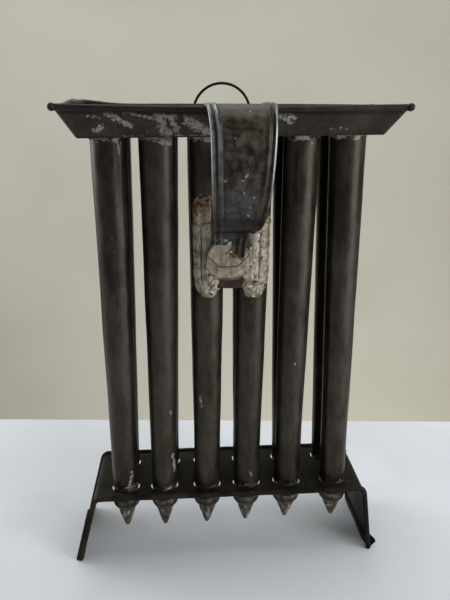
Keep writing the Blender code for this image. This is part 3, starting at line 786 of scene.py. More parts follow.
def rims():
    """Rims rolled over a wire; the end ones run on past the corners as round balls."""
    side = RIM_HALF[0] - 0.5
    for name, y, seed in (("rim_front", -RIM_HALF[1], 1.0), ("rim_back", RIM_HALF[1], 2.0)):
        path = line((-side, y, RIM_Z), (side, y, RIM_Z), 150)
        roll = rod(path, RIM_R, (0, 1, 0), 20, 0.14, 0.10, seed=seed)
        # The front half of each long roll is darkened: painted shade on the side turned from the lights
        # behind.
        piece(f"{name}_roll", [roll], TRAY_TIN, [name], warp=tray_warp, marks={
            "wear_and_highlight": lambda p: 0.55 * hill(p[:, 0], -103, 9) * (p[:, 1] > 0),
            "grime_and_shade": lambda p: 0.45 * (p[:, 1] < 0) * (0.8 + 0.4 * wobble(p, 9.0, 2.0))})
    end = RIM_HALF[1] + 1.1
    for name, x, seed in (("rim_left", -RIM_HALF[0], 3.0), ("rim_right", RIM_HALF[0], 4.0)):
        path = line((x, -end, RIM_Z), (x, end, RIM_Z), 90)
        ball = hill(np.abs(path[:, 1]), end, 2.2)
        roll = rod(path, RIM_R + 0.45 * ball, (1, 0, 0), 20, 0.12, 0.08, seed=seed)
        piece(f"{name}_roll", [roll], TRAY_TIN, [name], warp=tray_warp, marks={
            "wear_and_highlight": lambda p: 0.55 * hill(p[:, 1], 34, 8) * (p[:, 0] < 0),
            "grime_and_shade": lambda p: 0.5 * smoothstep(np.abs(p[:, 1]), 38.5, 40.0)})


# ---- Stand ----

def stand_warp(points):
    """The plate a little out of level."""
    points = points.copy()
    points[:, 2] += (-0.25 + 0.55 * points[:, 0] / 97.5) * points[:, 2] / PLATE_Z
    return points


def sheet_warp(points):
    """The sheet's slight waves and the bent corner of its right front foot."""
    points = stand_warp(points)
    x, y, z = points[:, 0], points[:, 1], points[:, 2]
    flap = smoothstep(z, 15.0, 4.5) * (0.25 + 0.75 * smoothstep(z, 0.0, 4.5))
    corner = hill(y, -STAND_EDGE_Y, 8.0) * flap * (x > 90)
    leg = smoothstep(np.abs(x), 95.0, 99.0)
    points[:, 0] += 6.2 * corner + leg * 0.5 * wobble(points, 22.0, 5.0)
    points[:, 2] += (1 - leg) * 0.35 * wobble(points, 26.0, 6.0)
    return points


def stand():
    """Plate and legs folded from one sheet, with rolled long edges and hemmed feet."""
    bent = fillet(STAND_LINE, BEND_R)
    run = travel(bent)
    middle = np.interp(0.0, bent[:, 0], run)
    ends = (-middle + 0.3, run[-1] - middle - 0.3)
    flat, faces = holed_plate(PLATE_Z, 1.05, 0.5, STAND_EDGE_Y - 1.2, ends)
    spot = resample(bent, flat[:, 0] + middle)
    points = np.column_stack([spot[:, 0], flat[:, 1], spot[:, 1]])

    def stain(p):
        return 0.20 * wobble(p, 12.0, 3.0) + 0.20 * smoothstep(p[:, 2], 12.0, 4.0)

    def grime_and_shade(p):
        inner = (p[:, 0] > 97) * 0.35 * smoothstep(p[:, 2], 50.0, 30.0)
        return inner * (0.6 + 0.5 * wobble(p * (1, 1, 0.2), 3.0, 2.0))

    piece("stand_sheet_skin", [(points, faces)], SHADED_STAND_TIN, ["stand_sheet"],
          marks={"stain": stain, "grime_and_shade": grime_and_shade}, sheet=SHEET, warp=sheet_warp)

    hems = []
    for side, sign in ((0, -1), (-1, 1)):   # the hems are folded back inside the feet
        foot, knee = np.array(STAND_LINE[side]), np.array(STAND_LINE[1 if side == 0 else -2])
        climb = (knee - foot) / np.linalg.norm(knee - foot)
        inward = np.array([-sign * climb[1], sign * climb[0]])
        y = np.linspace(-STAND_EDGE_Y + 1.5, STAND_EDGE_Y - 1.5, 40)
        outline = [(0.2, 0.2), (0.25, 1.6), (0.9, 2.1), (5.6, 1.7), (6.0, 1.3), (5.9, 0.2)]
        rings = []
        for value in y:
            uneven = 0.25 * noise.noise((value / 6, sign, 0))
            rings.append([(
                foot[0] + climb[0] * (up + uneven) + inward[0] * deep,
                value,
                max(0.05, foot[1] + climb[1] * (up + uneven * (up > 1)) + inward[1] * deep),
            ) for up, deep in outline])
        hems.append(skin(np.array(rings)))
    piece("stand_hems", hems, SHADED_STAND_TIN, warp=sheet_warp)

    edge = every(fillet(STAND_LINE, BEND_R, 12), 1.6)
    ridge = [(p[0], p[1]) for p in edge if p[1] > 0.9]
    back = np.array([(x, STAND_EDGE_Y, z) for x, z in ridge])
    piece("stand_roll_back", [rod(back, STAND_EDGE_R, (0, 1, 0), 18, 0.12, 0.10, seed=21.0)],
          SHADED_STAND_TIN, ["stand_wire_back"], warp=stand_warp)

    front = np.array([(x, -STAND_EDGE_Y, z) for x, z in ridge])
    over = front[((front[:, 0] < 0) & (front[:, 2] > 44)) | ((front[:, 0] > 0) & (front[:, 2] > 49.2))]
    left = front[(front[:, 0] < 0) & (front[:, 2] < 46.5)]
    right = front[(front[:, 0] > 90) & (front[:, 2] < 50.6)]
    bars = [
        rod(over, 1.95, (0, 1, 0), 18, 0.12, 0.10, seed=22.0),
        rod(left, 1.75, (0, 1, 0), 18, 0.10, 0.08, seed=23.0),
        rod(left[:-2] - (2.0, 0, 0), 1.25, (0, 1, 0), 14, 0.10, 0.08, seed=24.0),
        rod(right - (0, 0.5, 0), 1.75, (0, 1, 0), 18, 0.10, 0.10, seed=25.0),
    ]
    piece("stand_roll_front", bars, SHADED_STAND_TIN, ["stand_wire_front"], warp=stand_warp, marks={
        "wear_and_highlight": lambda p: 0.22 * smoothstep(p[:, 2], PLATE_Z, PLATE_Z + 2),
        "grime_and_shade": lambda p: 0.9 * hill(p[:, 0], 99.9, 0.8) * (p[:, 2] > 40)})


# ---- Handle ----

def smooth(stations, steps):
    """Catmull-Rom points through a chain of stations."""
    chain = np.array([stations[0], *stations, stations[-1]], float)
    path = []
    for a, b, c, d in zip(chain, chain[1:], chain[2:], chain[3:]):
        for i in range(steps):
            t = i / steps
            path.append(0.5 * (2 * b + (c - a) * t + (2 * a - 5 * b + 4 * c - d) * t * t
                               + (3 * b - a - 3 * c + d) * t ** 3))
    return np.array(path + [chain[-1]])


EDGE_R = 1.15
BEAD_AT, BEAD_HALF, BEAD_TALL = 4.7, 1.55, 1.0
STRAP_SKIN = 0.7
TAIL_TOP_Z = 243.8                          # the strap's tail below this is torn away, but for its right bead
TAIL_TORN = 0.50                            # share of the tail that is gone
STRAP_SHADOWS = (
    (-8, 308.6, -0.5, 307, 1.5, 0.75), (-0.5, 307, 6.5, 307.6, 1.4, 0.7), (6.5, 307.6, 11.5, 306, 1.4, 0.7),
    (-9, 306, -8.2, 297, 1.6, 0.6), (-3.4, 302.5, -3.2, 296.5, 1.1, 0.75), (5.2, 297, 6, 295.5, 1.7, 0.7),
    (-4.5, 296.5, 0.5, 295.8, 1.1, 0.6), (-10, 294, -9, 284, 1.9, 0.6), (-0.5, 289, 1, 285, 1.5, 0.6),
    (9.5, 291, 8, 285, 1.8, 0.55), (3.5, 290, 4.5, 287.5, 1.3, 0.6), (-5, 281, -3.5, 277, 1.7, 0.45),
    (11, 300, 11.5, 293, 1.5, 0.5), (-6.5, 288.5, -5, 287, 1.3, 0.5), (5, 279, 8, 276, 1.5, 0.4),
)
STRAP_FLECKS = (
    (3.2, 282, 4, 283.2, 0.9, 1.35), (1.5, 279.8, 2, 280.4, 0.7, 1.3), (2.2, 273.2, 2.4, 273.4, 0.8, 1.5),
    (7.8, 270.6, 8, 270.8, 0.6, 1.4), (6, 265.2, 6.4, 264.8, 0.7, 1.3), (5.4, 260, 5.8, 259.6, 0.9, 1.3),
    (5.9, 316.2, 6.2, 316, 0.7, 1.5), (-2.9, 302.6, -2.7, 302.8, 0.6, 1.35),
    (-8.2, 279.4, -7.6, 280.4, 0.8, 1.2),
)


def strap_section():
    """Distances in from an edge, and the outer and inner heights of the strap there."""
    roll = EDGE_R * (1 - np.cos(np.radians(np.arange(0, 181, 20))))
    bead = BEAD_AT + BEAD_HALF * np.linspace(-1, 1, 11)
    inward = np.concatenate([roll, [2.6], bead, [6.7, 7.4, 8.6]])
    circle = np.sqrt(np.clip(EDGE_R ** 2 - (inward - EDGE_R) ** 2, 0, None))
    raised = BEAD_TALL * np.cos(np.clip((inward - BEAD_AT) / BEAD_HALF, -1, 1) * np.pi / 2) ** 1.2
    flat = STRAP_SKIN / 2
    in_roll = inward < 2 * EDGE_R
    outer = np.where(in_roll, np.maximum(circle, flat * (inward > EDGE_R)), flat + raised)
    inner = np.where(in_roll, -np.maximum(circle, flat * (inward > EDGE_R)), raised - flat)
    return inward, outer, inner


def strap():
    """The tapering strap, with rolled edges and a swaged bead beside each of them."""
    path = smooth(STRAP, 22)
    forward = directions(path[:, :2])
    out = np.stack([forward[:, 1], -forward[:, 0]], axis=1)     # away from the inside of the loop
    out *= -1 if out[len(out) // 2, 0] > 0 else 1
    inward, high, low = strap_section()
    middle = np.linspace(0, 1, 42)[1:-1]
    outer, inner = [], []
    for step, ((y, z, left, right), normal, ahead) in enumerate(zip(path, out, forward)):
        width = right - left
        x = np.concatenate([left + inward, left + inward[-1] + (width - 2 * inward[-1]) * middle,
                            (right - inward)[::-1]])
        place = np.column_stack([x, np.full(len(x), y), np.full(len(x), z)])
        ragged = 0.9 * wobble(place, 2.0, 6.0) if step == 0 else 0.0
        torn = np.clip(TAIL_TOP_Z - z, 0, None) * TAIL_TORN * (1 - smoothstep(x, 1.8, 3.4))
        if step == len(path) - 1:
            torn = torn + 1.4 * wobble(place, 2.2, 9.0)
        dish = 0.12 * wobble(place, 9.0, 4.0)
        dish += 0.35 * np.cos((x - (left + right) / 2) / width * np.pi) * smoothstep(-y, 60.0, 75.0)
        for rows, heights in ((outer, high), (inner, low)):
            lift = dish + np.concatenate([heights, np.full(len(middle), heights[-1]), heights[::-1]])
            rows.append(place + np.column_stack([
                np.zeros(len(x)),
                normal[0] * lift + ahead[0] * ragged,
                normal[1] * lift + ahead[1] * ragged + torn]))

    def inset(points):
        """Distance in from the nearer edge of the strap."""
        step = np.argmin(np.abs(points[:, None, 1] - path[None, :, 0])
                         + np.abs(points[:, None, 2] - path[None, :, 1]), axis=1)
        return np.minimum(points[:, 0] - path[step, 2], path[step, 3] - points[:, 0])

    def wear_and_highlight(points):
        # Worn crests of the rolled edges and the left bead, brightened further towards the top as a painted
        # highlight; only the left bead gets it.
        fade = smoothstep(points[:, 2], 255.0, 305.0)
        roll = hill(inset(points), 0.5, 0.9) * (0.35 + 0.65 * fade)
        bead = hill(inset(points), BEAD_AT - 0.5, 0.9) * (points[:, 0] < 3) * (0.15 + 0.75 * fade)
        return np.maximum(roll, bead)

    def cool_sheen(points):
        # A painted bluish-grey sheen: on the left bead, fading downwards, over the lower strap and along the
        # top.
        on_left = points[:, 0] < 3
        bead = 0.7 * hill(inset(points), BEAD_AT, 1.5) * on_left * smoothstep(points[:, 2], 262.0, 292.0)
        low = smoothstep(points[:, 2] + 6 * wobble(points, 9.0, 17.0), 284.0, 262.0)
        top = 0.25 * smoothstep(points[:, 2], 313.0, 318.0)
        inside = np.clip(smoothstep(inset(points), 5.8, 8.0) + on_left, 0, 1)
        return np.clip(np.maximum(bead, np.maximum(low, top) * inside), 0, 0.9)

    def grime_and_shade(points):
        # Painted shade in the grooves beside the rolled edges and the bead; the tail's lower end is darker,
        # and the dark smears are listed in STRAP_SHADOWS.
        groove = 0.8 * hill(inset(points), 2.7, 0.45) + 0.5 * hill(inset(points), 6.9, 0.5)
        tail = 0.5 * smoothstep(points[:, 2], 246.0, 241.0) * (points[:, 0] > 1) * (points[:, 1] < -30)
        return np.maximum.reduce([groove, tail, smear(points, STRAP_SHADOWS) * (points[:, 1] < -60)])

    def stain(points):
        top = 0.95 * hill(points[:, 1], -48.0, 7.0) * (points[:, 2] > 319.4)
        end = 0.8 * hill(points[:, 1], -37.5, 3.0) * (points[:, 2] > 318)
        return np.maximum.reduce([top, end, smear(points, STRAP_FLECKS) * (points[:, 1] < -60)])

    def rust(points):
        bead = hill(inset(points), 4.4, 1.8) * (points[:, 0] > 3)
        return 0.78 * bead * smoothstep(points[:, 2], 240.0, 262.0)

    piece("handle_strap_skin", [shell(np.array(outer), np.array(inner))], STRAP_TIN,
          ["handle_strap", "handle_edge_left", "handle_edge_right"],
          marks={"wear_and_highlight": wear_and_highlight, "cool_sheen": cool_sheen, "grime_and_shade": grime_and_shade, "stain": stain, "rust": rust}, sharp=50)


PAD_X = (-16.8, 11.2)
PAD_Z = (210.4, 243.0)
PAD_CLIP = 7.4
PAD_TOP_CLIP = (11.0, 13.8)
PAD_SLOPE = 9.2                             # how much higher the face's lower edge is than the back's
PAD_LEVELS = (                              # share of the slope climbed, share of the way in, and Y
    (0, 0, -29.2), (0, 0, -30.2), (0.04, 0, -30.8), (0.10, 0, -31.0), (0.18, 0, -31.2), (0.28, 0, -31.4),
    (0.45, 0, -31.7), (0.7, 0, -32.1), (0.92, 0, -32.6), (1, 0, -33.0), (1, 0.012, -33.15), (1, 0.03, -32.85),
    (1, 0.045, -32.6), (1, 0.09, -32.7), (1, 0.2, -32.7), (1, 0.35, -32.7), (1, 0.5, -32.7), (1, 0.7, -32.7),
    (1, 0.97, -32.7),
)
PAD_RUST = (
    (-3.5, 229, -3, 227.5, 1, 0.9), (3.5, 226.5, 6.5, 225, 1.3, 1),
)


def pad():
    """The clipped-corner block that holds the strap's tail: a flat face over a sloping lower edge."""
    (x0, x1), (z0, z1) = PAD_X, PAD_Z
    clip, (across, down) = PAD_CLIP, PAD_TOP_CLIP
    corners = [(x0 + clip, z0), (x1 - clip, z0), (x1, z0 + clip), (x1, z1 - down),
               (x1 - across, z1), (x0 + across, z1), (x0, z1 - down), (x0, z0 + clip)]
    outline = np.concatenate([line(corners[k], corners[(k + 1) % 8], 15)[:-1] for k in range(8)])
    centre = np.array([(x0 + x1) / 2, z1 - down])
    rise = np.clip((z1 - down - outline[:, 1]) / (z1 - down - z0 - clip), 0, 1)
    rings = []
    for climb, share, y in PAD_LEVELS:
        narrow = 0.35 * climb * np.sign(centre[0] - outline[:, 0])
        ring = outline + np.column_stack([narrow, PAD_SLOPE * climb * rise])
        ring = ring + (centre - ring) * share
        place = np.column_stack([ring[:, 0], np.full(len(ring), y), ring[:, 1]])
        lumps = 0.16 * wobble(place, 6.0, 12.0) + 0.10 * wobble(place, 2.0, 13.0)
        place[:, 1] += lumps * (climb > 0)
        place[:, 0] += 0.35 * wobble(place, 4.0, 14.0) * (share < 0.02)
        place[:, 2] += 0.30 * wobble(place, 4.0, 15.0) * (share < 0.02)
        rings.append(place)
    climbed, share_in, _ = np.repeat(np.array(PAD_LEVELS), len(outline), axis=0).T

    def grime_and_shade(p):
        # Painted shade in the groove round the face and along the back edge against the tube.
        return hill(share_in, 0.045, 0.014) * (climbed == 1) + 0.5 * (climbed == 0)

    def wear_and_highlight(p):
        slope = 0.28 * (climbed > 0.2) * (climbed < 1)
        return slope + 0.60 * hill(share_in, 0.012, 0.012) * (climbed == 1)

    def rust(p):
        foot = (climbed < 0.2) * (p[:, 2] < PAD_Z[0] + 4) * (0.7 + 0.9 * wobble(p, 4.0, 6.0))
        return np.maximum(1.15 * foot, smear(p, PAD_RUST))

    piece("handle_pad_skin", [skin(np.array(rings))], SOLDER, ["handle_pad"], sharp=30,
          marks={"edge": lambda p: 0.26 * smoothstep(share_in, 0.03, 0.06) + 0.08,
                 "rust": rust, "grime_and_shade": grime_and_shade, "wear_and_highlight": wear_and_highlight})


def lobe(name, key, angles, z_span, node, seed, beads, seams, marks):
    """Solder wiped up the front of a tube: a lumpy patch with a round lower end and a ragged top.

    beads and seams are (place across from -1 to 1, half width, height, lowest Z, highest Z); marks adds to
    its colours.
    """
    low, high = z_span
    rows, columns = 150, 56
    z = np.linspace(low, high, rows)
    centre, radius = tube_at(key, z)
    first, last = (math.radians(a) for a in angles)
    half, middle = (last - first) / 2, (first + last) / 2
    round_end, ragged_end = 11.0, 5.0
    shape = np.sqrt(np.clip(1 - np.clip((low + round_end - z) / round_end, 0, 1) ** 2, 0.02, 1))
    top = np.sqrt(np.clip(1 - np.clip((z - high + ragged_end) / ragged_end, 0, 1) ** 2, 0.12, 1))
    share = np.linspace(-1, 1, columns)
    lean_in = math.radians(14) * np.sign(middle) * smoothstep(z, low + 16.0, low)
    angle = middle - lean_in[:, None] + half * share[None, :] * (shape * top)[:, None]

    def on_tube(angle):
        out = outward(angle)
        return centre[:, None, :] + out * radius[:, None, None], out

    base, _ = on_tube(angle)
    ragged = wobble(base, 4.0, seed) + 0.6 * wobble(base, 1.6, seed)
    base, out = on_tube(angle + 0.11 * ragged * np.abs(share)[None, :] ** 3)
    base[..., 2] += 3.0 * wobble(base, 2.2, seed + 2) * smoothstep(z, high - 6, high)[:, None]
    inset = np.minimum(1 - np.abs(share)[None, :], (np.minimum(z - low, high - z) / 8.0)[:, None])
    lift = 0.55 * smoothstep(inset, 0.0, 0.14) + 0.35 * hill(inset, 0.16, 0.09)
    dark = np.zeros_like(inset)
    lean = 0.05 * wobble(base * (0.1, 0.1, 1), 9.0, seed)   # beads and seams wander a little
    for place, width, height, foot, head in beads:
        along = smoothstep(z, foot - 2, foot + 2) * smoothstep(z, head + 2, head - 2)
        bead = np.clip(1 - ((share[None, :] - place + lean) / width) ** 2, 0, 1) ** 0.7
        lift = lift + height * bead * along[:, None]
    for place, width, depth, foot, head in seams:
        along = smoothstep(z, foot - 1, foot + 1) * smoothstep(z, head + 1, head - 1)
        groove = hill(share[None, :] + lean, place, width) * along[:, None]
        lift = lift - depth * groove
        dark = np.maximum(dark, groove)
    foot = smoothstep(base[..., 2], low + 12, low + 5)
    lumps = 0.38 * wobble(base, 5.0, seed) + (0.26 + 0.45 * foot) * wobble(base, 2.2, seed + 5)
    lumps += 0.12 * wobble(base, 1.0, seed + 9)
    lift = np.maximum(lift + lumps * smoothstep(inset, 0.0, 0.12), 0.02)
    # Random patches darkened as flux and painted shade in hollows.
    hollow = np.clip(-wobble(base, 2.4, seed + 7) * 2.4 - 0.70 + 0.45 * foot, 0, 1)
    points, faces = shell(base + out * lift[..., None], base - out * 0.15)
    inset, dark, hollow = (np.tile(values.ravel(), 2) for values in (inset, dark, hollow))
    extra = {mark: make(points) for mark, make in marks.items()}

    def edge(p):
        burnt = 0.85 * smoothstep(p[:, 2], high - 13, high - 5)
        return 0.55 * hill(inset, 0.0, 0.12) + burnt + extra["edge"]

    def grime_and_shade(p):
        # Dark seams, dark hollows that are flux and painted shade, a dark rim round the edge and a burnt top.
        burnt = (0.35 + 0.9 * wobble(p, 2.4, seed + 4)) * smoothstep(p[:, 2], high - 15, high - 4)
        rim = (0.75 + 0.5 * wobble(p, 2.0, seed + 6)) * hill(inset, 0.0, 0.085)
        return np.maximum.reduce([0.75 * dark, hollow * 0.8, rim, burnt])

    piece(name, [(points, faces)], SOLDER, [node], marks={
        "edge": edge,
        "rust": lambda p: np.maximum(extra["rust"], 0.8 * dark),
        "grime_and_shade": grime_and_shade,
        "wear_and_highlight": lambda p: np.clip(extra["wear_and_highlight"], 0, 1) * (1 - dark)})


def lobes():
    """The two wiped patches, browner at the left and paler at the right."""
    beads = (
        (-0.60, 0.30, 0.75, 206, 256),
        (0.02, 0.22, 0.40, 204, 256),
        (0.1, 0.75, 0.75, 196, 204),
    )
    seams = ((-0.24, 0.035, 0.5, 210, 244), (0.42, 0.05, 0.5, 206, 214))
    bright = ((-15, 214, -12.5, 211.5, 1, 0.8),)
    rust = (
        (-18.5, 247.3, -14, 247.8, 0.9, 1), (-22, 259.8, -14, 258.5, 1, 0.95),
        (-23.5, 255.5, -22, 252.5, 1, 0.9), (-17, 213, -14, 209, 1, 0.7),
    )
    lobe("handle_solder_lobe_left", ("front", 3), (-60, 34), (197.6, 265.0), "handle_solder_left",
         41.0, beads, seams, {
        "edge": lambda p: 0.26 + 0.35 * wobble(p, 6.0, 3.0),
        "wear_and_highlight": lambda p: 0.25 * wobble(p, 5.0, 8.0) + smear(p, bright),
        "rust": lambda p: smear(p, rust)})

    beads = (
        (0.56, 0.42, 0.70, 206, 250),
        (-0.34, 0.26, 0.35, 206, 245),
        (0.0, 0.85, 0.75, 195, 204),
    )
    seams = (
        (0.06, 0.035, 0.7, 210.5, 241),
        (-0.15, 0.05, 0.4, 205, 210),
        (0.82, 0.03, 0.25, 203, 240),
    )
    bright = ((8, 206.5, 9, 205, 0.8, 0.8), (17.5, 240, 18.5, 238, 0.7, 0.8))
    rust = (
        (15, 243.5, 16.5, 242, 0.9, 1.1), (14.5, 208.5, 18, 210.5, 0.9, 0.9),
        (20.5, 200, 22.5, 202, 0.9, 0.8),
    )
    lobe("handle_solder_lobe_right", ("front", 4), (-36, 66), (197.2, 254.0), "handle_solder_right",
         47.0, beads, seams, {
        "edge": lambda p: 0.15 * wobble(p, 6.0, 3.0),
        "wear_and_highlight": lambda p: 0.30 + 0.25 * wobble(p * (1, 1, 0.3), 3.0, 8.0) + smear(p, bright),
        "rust": lambda p: smear(p, rust)})


def dollop(x, z, half_x, half_z, tall, y, seed):
    """A squashed drop of solder, flat behind, on a face at Y = y."""
    turn = full_turn(28)
    level = np.ones_like(turn)
    rings = []
    for share in (1.0, 1.0, 0.94, 0.82, 0.64, 0.42, 0.2, 0.05):
        depth = 0.3 if not rings else -tall * math.sqrt(1 - share ** 2)
        ring = np.stack([x + half_x * share * np.cos(turn), (y + depth) * level,
                         z + half_z * share * np.sin(turn)], 1)
        rough = 0.42 * wobble(ring, 2.6, seed) + 0.20 * wobble(ring, 1.1, seed + 3)
        away = np.stack([np.cos(turn) * share, -0.6 * level, np.sin(turn) * share], 1)
        rings.append(ring + away * (rough * min(half_x, half_z))[:, None] * (len(rings) > 0))
    return skin(np.array(rings))


def drops():
    """Drops of solder at the pad's lower corners, and the burnt ones where the tail ends."""
    pale = (
        (-12.8, 212.6, 4.6, 4.8, 0.9, -29), (-10.4, 206.4, 3.4, 3.4, 0.8, -28.8),
        (-15.6, 217.6, 2.2, 3.6, 1.1, -29.3), (12.4, 223, 3.4, 8.5, 1.4, -29.6),
        (10.6, 213.6, 3.6, 5, 1.2, -29.2), (10.2, 206.4, 3.4, 3.6, 0.8, -28.9), (14, 209.5, 4, 3.4, 1, -29),
        (-8.2, 237.8, 2.1, 1.3, 0.7, -34), (-4.6, 237.4, 2.4, 1.2, 0.6, -34),
        (-2, 235.6, 1.6, 1.8, 0.5, -34),
    )
    tan = (
        (1.2, 231.6, 1.9, 2.6, 1.2, -33), (2.4, 227.6, 3.2, 1.7, 1, -33), (-0.8, 229.4, 1.5, 2.2, 0.7, -33),
    )
    for name, drop, surface, bright, burnt in (
            ("pale", pale, SOLDER, 0.42, 0.0), ("burnt", tan, TAN_SOLDER, 0.15, 0.45)):
        made = [dollop(*values, 2.9 * k) for k, values in enumerate(drop)]
        piece(f"handle_solder_drops_{name}", made, surface, marks={
            "wear_and_highlight": lambda p: bright + 0.25 * wobble(p, 3.0, 5.0),
            "edge": lambda p: 0.25 * wobble(p, 4.0, 2.0),
            "rust": lambda p: burnt + 0.5 * wobble(p, 3.0, 7.0),
            "grime_and_shade": lambda p: 0.15 + 1.1 * wobble(p, 2.0, 6.0)})


def bridge():
    """The dark sheet across the two middle tubes, seen below the pad."""
    columns, rows = 30, 50
    x = np.linspace(-13.0, 10.8, columns)
    z = np.linspace(204.8, 263.0, rows)
    grid_x, grid_z = np.meshgrid(x, z)
    curl = 0.6 * (np.abs(grid_x + 1.1) / 12) ** 4
    base = np.stack([grid_x, np.full_like(grid_x, -29.0), grid_z], axis=-1)
    base[..., 1] += curl + 0.15 * wobble(base, 8.0, 3.0)
    base[..., 2] += 0.3 * wobble(base, 5.0, 7.0) * (grid_z < 206)
    piece("handle_bridge_sheet", [shell(base - (0, 0.4, 0), base + (0, 0.4, 0))], TUBE_TIN,
          ["handle_bridge"])


# ---- Hanging ring ----

def ring():
    """The wire ring: an arc and a straight bar, turning in the lug."""
    corner = 12
    turns = np.radians(np.linspace(corner, 180 - corner, 64))
    arc = np.column_stack([RING_R * np.cos(turns), RING_ARC_LIFT + RING_R * np.sin(turns)])
    share = np.linspace(0, 1, 9)[1:, None]
    pull, end = np.array([-RING_R, 0.0]), np.array([-RING_BAR_HALF, 0.0])
    bend = arc[-1] * (1 - share) ** 2 + pull * 2 * share * (1 - share) + end * share ** 2
    bar = line(end, -end, 16)[1:-1]
    path = np.concatenate([arc, bend, bar, (bend * (-1, 1))[::-1]])
    lean = np.array([math.sin(RING_LEAN), math.cos(RING_LEAN)])
    spots = RING_AXIS + np.column_stack([path[:, 0], -lean[0] * path[:, 1], lean[1] * path[:, 1]])
    across = np.array([0.0, math.cos(RING_LEAN), math.sin(RING_LEAN)])
    wire = rod(spots, RING_WIRE_R, across, 14, 0.04, closed=True, seed=31.0)
    piece("hanging_ring_wire", [wire], IRON_WIRE, ["hanging_ring"], body="ring")


def lug():
    """The strip folded round the ring's bar and soldered up the back wall."""
    rise = np.array([RIM_HALF[1] - TRAY_HALF[1], RIM_Z - 301.0])
    up = rise / np.linalg.norm(rise)
    out = np.array([up[1], -up[0]])
    foot = np.array([TRAY_HALF[1], 301.0])
    eye = RING_AXIS[1:]
    leaf = [foot + up * run + out * 1.25 for run in np.linspace(2.0, 10.4, 12)]
    start = math.atan2(*(leaf[-1] - eye)[::-1])
    turns = start + np.radians(np.linspace(12, 318, 28))
    loop = [eye + 1.85 * np.array([math.cos(a), math.sin(a)]) for a in turns]
    path = every(np.array(leaf + loop), 0.6)
    forward = directions(path)
    normal = np.stack([forward[:, 1], -forward[:, 0]], axis=1)
    run = travel(path)
    half = 7.0 - 1.6 * np.clip(1 - run / 2.2, 0, 1) ** 2
    share = np.linspace(-1, 1, 21)
    x = RING_X + half[:, None] * share[None, :]
    base = np.stack(np.broadcast_arrays(x, path[:, :1], path[:, 1:]), axis=-1)
    thick = 0.36 * (1 - 0.5 * np.abs(share) ** 8)
    push = np.stack([np.zeros_like(x), normal[:, :1] * thick, normal[:, 1:] * thick], axis=-1)
    uneven = 0.06 * wobble(base, 3.0, 2.0)[..., None]
    piece("ring_lug_strip", [shell(base + push + uneven, base - push + uneven)], TRAY_TIN,
          ["ring_lug"], marks={"stain": lambda p: 0.45 * smoothstep(p[:, 2], 306.0, 302.0)})


# ---- Stage, camera and light ----

def stage_plane(name, corners, surface):
    """A flat piece of the setting."""
    mesh = bpy.data.meshes.new(name)
    mesh.from_pydata([tuple(c) for c in corners], [], [(0, 1, 2, 3)])
    built = bpy.data.objects.new(name, mesh)
    bpy.context.scene.collection.objects.link(built)
    built.data.materials.append(surface)
    return built


def plain(name, one, two, size, roughness):
    """A plain surface with the faintest clouding."""
    s = Surface(name)
    colour = s.mix(s.steps(s.grain(size, 3.0, 0.5), 0.35, 0.65), one, two)
    return s.finish(colour, roughness, 0.0, s.bump(s.grain(6.0, 3.0, 0.5), 0.05, 0.3))


TABLE_REACH = 1.6                           # metres from the middle to the table's sides and front
TABLE_BACK, TABLE_TURN = 0.1994, -0.0758    # its back edge is turned a little against the mould
WALL_Y, WALL_REACH, WALL_Z = 1.1, 3.0, (-1.5, 2.5)


def setting():
    """A pale table whose back edge stops before a plain wall."""
    table = plain("table_paint", (0.72, 0.745, 0.79), (0.77, 0.80, 0.85), 120.0, 0.6)
    wall = plain("wall_paint", (0.475, 0.45, 0.37), (0.50, 0.48, 0.41), 300.0, 0.9)
    reach, slant = TABLE_REACH, TABLE_TURN * TABLE_REACH
    stage_plane("table_top", [
        (-reach, -reach, 0), (reach, -reach, 0),
        (reach, TABLE_BACK + slant, 0), (-reach, TABLE_BACK - slant, 0)], table)
    side, (low, high) = WALL_REACH, WALL_Z
    stage_plane("wall", [
        (-side, WALL_Y, low), (side, WALL_Y, low),
        (side, WALL_Y, high), (-side, WALL_Y, high)], wall)


CAMERA_AT = Vector((-31.7, -432.15, 318.46))
CAMERA_PITCH, CAMERA_TURN, CAMERA_ROLL = 16.78, 3.864, 0.10
CAMERA_LENS, CAMERA_SENSOR = 38.4, 36.0


def camera():
    """The photograph's view: level with the rims, looking down a little and slightly to the right."""
    data = bpy.data.cameras.new("camera")
    data.lens = CAMERA_LENS
    data.sensor_width = CAMERA_SENSOR
    built = bpy.data.objects.new("camera", data)
    built.location = Vector(ORIGIN) + CAMERA_AT * MM
    aim = Euler((math.radians(90 - CAMERA_PITCH), 0, math.radians(-CAMERA_TURN))).to_matrix()
    built.rotation_euler = (aim @ Matrix.Rotation(math.radians(CAMERA_ROLL), 3, "Z")).to_euler()
    bpy.context.scene.collection.objects.link(built)
    bpy.context.scene.camera = built


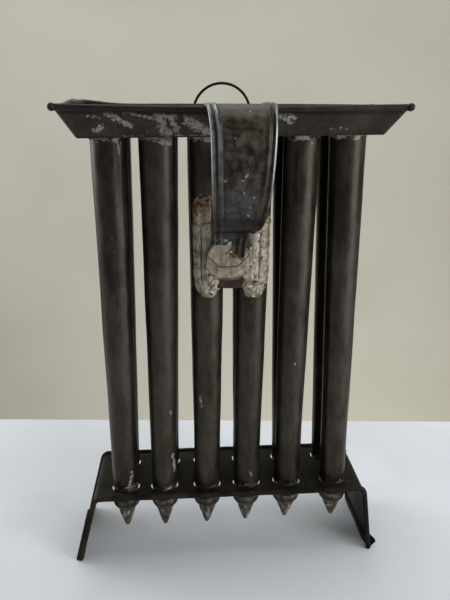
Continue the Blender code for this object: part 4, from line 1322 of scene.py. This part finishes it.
def area(name, place, target, size, watts, colour):
    """A soft square light aimed at a point."""
    data = bpy.data.lights.new(name, "AREA")
    data.size = size
    data.energy = watts
    data.color = colour
    built = bpy.data.objects.new(name, data)
    built.location = place
    built.rotation_euler = (Vector(target) - Vector(place)).to_track_quat("-Z", "Y").to_euler()
    built.visible_camera = False
    bpy.context.scene.collection.objects.link(built)
    return built


MOULD = (0.0, 0.0, 0.18)
COOL, COOLER, WARM, WALL_TINT = (0.93, 0.97, 1.0), (0.90, 0.96, 1.0), (1.0, 0.97, 0.92), (1.0, 0.985, 0.94)
LIGHTS = (                                  # name, place, target, size, watts, colour
    ("back_key", (-0.25, 0.85, 1.30), MOULD, 1.1, 5.0, COOL),
    ("left_window", (-1.10, 0.42, 0.50), MOULD, 0.8, 8.0, COOLER),
    ("right_window", (0.95, -0.70, 0.34), MOULD, 0.8, 8.5, COOL),
    ("right_fill", (0.85, -1.00, 0.90), MOULD, 0.9, 3.7, WARM),
    ("table_glow", (0.80, -0.50, 0.55), (0.36, -0.16, 0.0), 0.4, 0.9, (0.90, 0.95, 1.0)),
    ("wall_top", (0.25, 0.10, 1.50), (0.15, WALL_Y, 0.55), 0.9, 6.6, WALL_TINT),
    ("wall_foot", (0.35, 0.35, -0.90), (0.15, WALL_Y, 0.15), 0.9, 8.2, WALL_TINT),
)
ROOM_COLOUR = (0.82, 0.82, 0.82, 1.0)
ROOM_STRENGTH = 0.29


def lights():
    """Light from behind and above, windows at the left and right, lamps on the wall, and a dim room."""
    for values in LIGHTS:
        area(*values)
    world = bpy.data.worlds.new("room")
    world.use_nodes = True
    background = world.node_tree.nodes["Background"]
    background.inputs["Color"].default_value = ROOM_COLOUR
    background.inputs["Strength"].default_value = ROOM_STRENGTH
    bpy.context.scene.world = world
    bpy.context.scene.view_settings.view_transform = "Standard"


camera()
lights()
setting()
for key in TUBES:
    tube(key)
    tip(key)
tube_solder()
tray()
rims()
stand()
strap()
bridge()
pad()
lobes()
drops()
lug()
ring()
